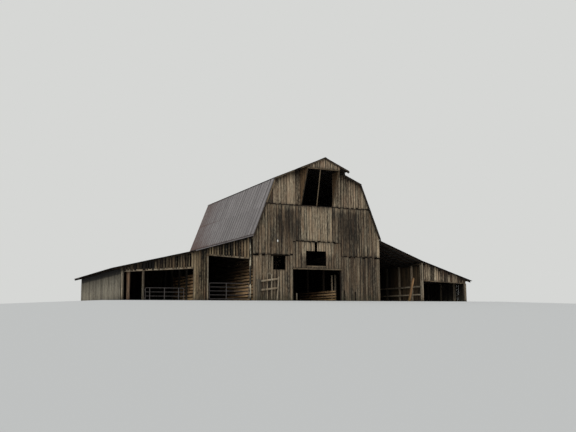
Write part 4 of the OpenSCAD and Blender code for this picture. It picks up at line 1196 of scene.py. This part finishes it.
def crib_weather_and_shade(place_at):
    """The main block's side planks: warm and clean low down at the front, with painted shade deepening high
    up and far back.
    """
    back = max(place_at.y - FRONT_Y, 0)
    return 0.2 + 0.35 * max(back - 1.0, 0) + 1.1 * max(place_at.z - 1.3, 0)


def partition_weather_and_shade(place_at):
    """The planks behind the boarded pier, warm near the front, with painted shade deepening further back and
    above head height.
    """
    return 0.3 + 0.2 * max(place_at.y - FRONT_Y, 0) + 1.5 * max(place_at.z - 1.6, 0)


def deep_weather_and_shade(place_at):
    """Posts and beams get painted shade that deepens quickly behind the front."""
    return 0.3 + PAINTED_INSIDE_SHADE * ramp(place_at.y - FRONT_Y - 0.5, 1)


def stall_weather_and_shade(place_at):
    """The stalls in the right shed, with painted shade that deepens behind the open front."""
    return 0.3 + 0.35 * max(place_at.y - FRONT_Y - 2.5, 0)


def rail_weather_and_shade(place_at):
    """The rails beside the aisle, polished at the front, with painted shade deepening behind."""
    return 0.1 + 0.5 * max(place_at.y - FRONT_Y - 3.0, 0)


def roof_weather(place_at):
    """Rust gathers towards the rear, and on the main roof towards the eaves."""
    back = (place_at.y - FRONT_Y) / 16
    low = ramp(7.0 - place_at.z, 1.6) if place_at.z > DRIP[1] else 0
    return 0.75 * ramp(back - 0.45, 0.5) + 0.25 * low - 0.05


# Walls

LOWER_NAILS = (0.12, 1.9, 3.7)
MIDDLE_NAILS = (2.95, 4.3, 4.8, 6.0, 7.7)
GABLE_NAILS = (8.1, 9.3, 10.5)
SHED_NAILS = (0.15, 1.1, 2.3, 2.95, 3.6, 4.3)
ROTTEN_STRIPS = ((RIDGE_X + 2.45, 0.09, 0.95), (RIDGE_X + 3.47, 0.09, 0.85))
# The walls beside the doorway end a little short of the tier above
LOWER = {"head_gap": (0.05, 0.18), "head_above": 3.7, "nails": LOWER_NAILS, "weather": front_weather_and_shade}
# The rear walls let no daylight through
REAR = {"gaps": (0.0005, 0.0015), "wander": 0.1, "tones": (0.2, 0.9), "weather": rear_weather_and_shade}

upright_boards("front_wall_left", 0, WEATHERED, 11, tones=(0.4, 0.85), **LOWER)
upright_boards("front_wall_right", 0, WEATHERED, 12, tones=(0.3, 0.9), rotten=ROTTEN_STRIPS, **LOWER)
upright_boards("front_centre_panel", 0, WEATHERED, 13, weather=front_weather_and_shade, tones=(0.35, 0.8),
               head_gap=(0.07, 0.15), head_above=4.9, nails=MIDDLE_NAILS)
upright_boards("front_wall_middle", 0, WEATHERED, 14, teeth=0.06, weather=front_weather_and_shade, tones=(0.35, 0.8),
               head_gap=(0.07, 0.13), head_above=7.7, nails=MIDDLE_NAILS)
upright_boards("front_gable", 0, GABLE_BOARDS, 15, ragged=0.04, teeth=0.05, weather=front_weather_and_shade,
               tones=(0.15, 1.0), short=0.3, short_by=0.1, nails=GABLE_NAILS)
upright_boards("hood_gable", 0, GABLE_BOARDS, 16, "sheltered_boards", weather=lambda place_at: 0.5)
upright_boards("hood_cheeks", 1, SHELTERED, 17, "sheltered_boards", tones=(0.4, 0.9))
upright_boards("left_shed_front_boards", 0, SHED_BOARDS, 18, ragged=0.10, foot_gap=0.045, short=0.5,
               short_by=0.25, widths=(0.19, 0.28), gaps=(0.035, 0.11), tones=(0.15, 1.05),
               weather=shed_weather_and_shade, nails=SHED_NAILS)
upright_boards("left_shed_pier", 0, SHED_BOARDS, 19, widths=(0.19, 0.28), gaps=(0.015, 0.07),
               tones=(0.0, 0.95), weather=shed_weather_and_shade, nails=SHED_NAILS)
upright_boards("right_shed_front_boards", 0, GABLE_BOARDS, 20, ragged=0.08, foot_gap=0.03, short=0.6,
               short_by=0.3, widths=(0.18, 0.27), gaps=(0.01, 0.07), tones=(-0.05, 0.9),
               weather=right_shed_weather_and_shade, nails=SHED_NAILS)
upright_boards("left_shed_side_wall", 1, SIDE_BOARDS, 21, tones=(0.3, 1.0), weather=side_weather_and_shade,
               nails=SHED_NAILS)
upright_boards("right_shed_side_wall", 1, WEATHERED, 22, weather=right_side_weather_and_shade)
upright_boards("right_shed_partition", 1, INNER_PLANKS, 23, "sheltered_boards", tones=(0.2, 1.1),
               weather=stall_weather_and_shade)
upright_boards("rear_wall_lower", 0, WEATHERED, 24, nails=LOWER_NAILS, **REAR)
upright_boards("rear_wall_middle", 0, WEATHERED, 25, ragged=0.14, nails=MIDDLE_NAILS, **REAR)
upright_boards("rear_gable", 0, WEATHERED, 26, ragged=0.12, nails=GABLE_NAILS, **REAR)
upright_boards("left_shed_rear_wall", 0, WEATHERED, 27, nails=SHED_NAILS, **REAR)
upright_boards("right_shed_rear_wall", 0, WEATHERED, 28, nails=SHED_NAILS, **REAR)
nail_heads("wall_nails", WALL_NAILS, HOOK_STEEL, "gate_steel", 0.006)

# Planks laid flat

timbers("side_wall_left", CRIB_PLANKS, 31, "sheltered_boards", longest=4.4, step=0.6, tones=(0.2, 1.1),
        weather=crib_weather_and_shade)
timbers("side_wall_right", SHELTERED, 32, "sheltered_boards", longest=4.4, step=0.9, weather=crib_weather_and_shade)
timbers("left_shed_partition", CRIB_PLANKS, 33, "sheltered_boards", longest=3.6, step=0.6,
        tones=(0.1, 0.7), weather=partition_weather_and_shade)
timbers("aisle_rails", CRIB_PLANKS, 34, "sheltered_boards", longest=4.0, step=0.6, tones=(0.0, 0.6),
        weather=rail_weather_and_shade)
timbers("stall_rails", LOGS, 35, "sheltered_boards", longest=4.0, tones=(0.4, 0.9), weather=stall_weather_and_shade)
timbers("loft_floor", INNER_PLANKS, 36, "sheltered_boards", longest=4.0)

# Posts, beams and rafters

BARK_LOG = (-16.2, -15.75)
PEELED_POLE = (-6.6, -6.02)


def left_post_kind(place_at):
    """0 for bare logs and sawn posts, 1 for the bark-covered log, 2 for the pole by the main block."""
    x = place_at.x - RIDGE_X
    if place_at.y > FRONT_Y + 0.6:
        return 0
    return 1 if BARK_LOG[0] < x < BARK_LOG[1] else 2 if PEELED_POLE[0] < x < PEELED_POLE[1] else 0


def rake_kind(place_at):
    """1 for the lighter boards at the upper left, 0 for the others."""
    return int(place_at.x < RIDGE_X and place_at.z > TIER_FEET[1])


timbers("door_lintel", TIMBER, 41, tones=(0.4, 0.7))
timbers("front_framing", SHADED_INNER_TIMBER, 42)
timbers("rear_framing", SHADED_INNER_TIMBER, 43)
timbers("hood_frame", TIMBER, 44, tones=(0.5, 0.9))
timbers("hood_header", TIMBER, 45, tones=(0.5, 0.9))
timbers("rake_boards", SHADED_EAVE_TIMBER, 46, others=(TIMBER,), which=rake_kind)
timbers("upper_rafters", SHADED_INNER_TIMBER, 47)
timbers("lower_rafters", SHADED_INNER_TIMBER, 48)
timbers("roof_beams", SHADED_INNER_TIMBER, 49)
timbers("barn_posts", SHADED_INNER_TIMBER, 50)
timbers("loft_joists", SHADED_INNER_TIMBER, 51)
timbers("left_shed_beams", LOGS, 52, tones=(0.5, 0.9), weather=deep_weather_and_shade)
timbers("left_shed_posts", LOGS, 53, tones=(0.3, 0.9), smooth_angle=40, weather=deep_weather_and_shade,
        others=(BARK, PEELED), which=left_post_kind)
timbers("left_shed_rafters", SHADED_INNER_TIMBER, 54)
timbers("right_shed_beams", TIMBER, 55, weather=deep_weather_and_shade)
timbers("right_shed_posts", LOGS, 56, tones=(0.3, 0.8), smooth_angle=40, weather=stall_weather_and_shade)
timbers("right_shed_rafters", SHADED_INNER_TIMBER, 57)
timbers("leaning_pole", CRIB_PLANKS, 58, tones=(-0.2, 0.1), smooth_angle=40, weather=lambda place_at: 0.1)
timbers("front_rail_panel", LOGS, 59, tones=(0.8, 1.1), smooth_angle=40, weather=lambda place_at: 0.1)
timbers("door_posts", LOGS, 82, tones=(0.3, 0.9), smooth_angle=40)
timbers("eave_blocks", SHADED_EAVE_TIMBER, 83)

# Roofs

for side, word, shed_lines in ((-1, "left", LEFT_LINES), (1, "right", RIGHT_LINES)):
    gambrel = [Slope(side, RIDGE, KNUCKLE, 0.02, 0.09), Slope(side, KNUCKLE, DRIP, 0.048)]
    roof(f"main_roof_{word}", gambrel, ROOF_Y, MAIN_ROOF, SHADED_INNER_TIMBER, 60 + side, 64 + side)
    shed_head, shed_bend, shed_foot = shed_lines
    lean_to = [Slope(side, shed_head, shed_bend, 0.015), Slope(side, shed_bend, shed_foot, 0.01)]
    roof(f"{word}_shed_roof", lean_to, SHED_Y, SHED_ROOF, SHADED_INNER_TIMBER, 70 + side, 74 + side)
    eave_flashing(f"{word}_eave_flashing", side, shed_head, shed_bend, SHED_ROOF, 78 + side)

edge_strips("left_shed_edge_strips", Slope(-1, LEFT_LINES[0], LEFT_LINES[1], 0.015), SHED_Y[0],
            TRIM_SHEET, 85)
hood = [Slope(side, RIDGE, HOOD_FOOT, 0.02) for side in (-1, 1)]
roof("hood_roof", hood, HOOD_Y, MAIN_ROOF, SHADED_EAVE_TIMBER, 80, 81)
nail_heads("roof_screws", ROOF_SCREWS, HOOK_STEEL, "roof_sheet", 0.009)

# The lamp on the boards: a dim arm and hood, and a white jar

JAR_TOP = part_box("yard_lamp")[0].z + 0.15

timbers("yard_lamp", HOOK_STEEL, 84, "lamp", rough=0.0, chamfer=0, others=(LAMP_ENAMEL,),
        which=lambda place_at: int(place_at.z < JAR_TOP), smooth_angle=40)

# Parts whose drawn shape stays


def coat(node, finish):
    """Gives a node one finish all over."""
    for material_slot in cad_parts[node].material_slots:
        material_slot.material = finish


coat("gate_outer", GATE_STEEL)
coat("gate_inner", GATE_STEEL)
coat("gate_hooks", HOOK_STEEL)
coat("ridge_cap", TRIM_SHEET)

photo_camera()
studio_floor()
studio_air()
soft_lamp("soft_key", (-0.55, -0.70, 0.62), 1.35, 45)
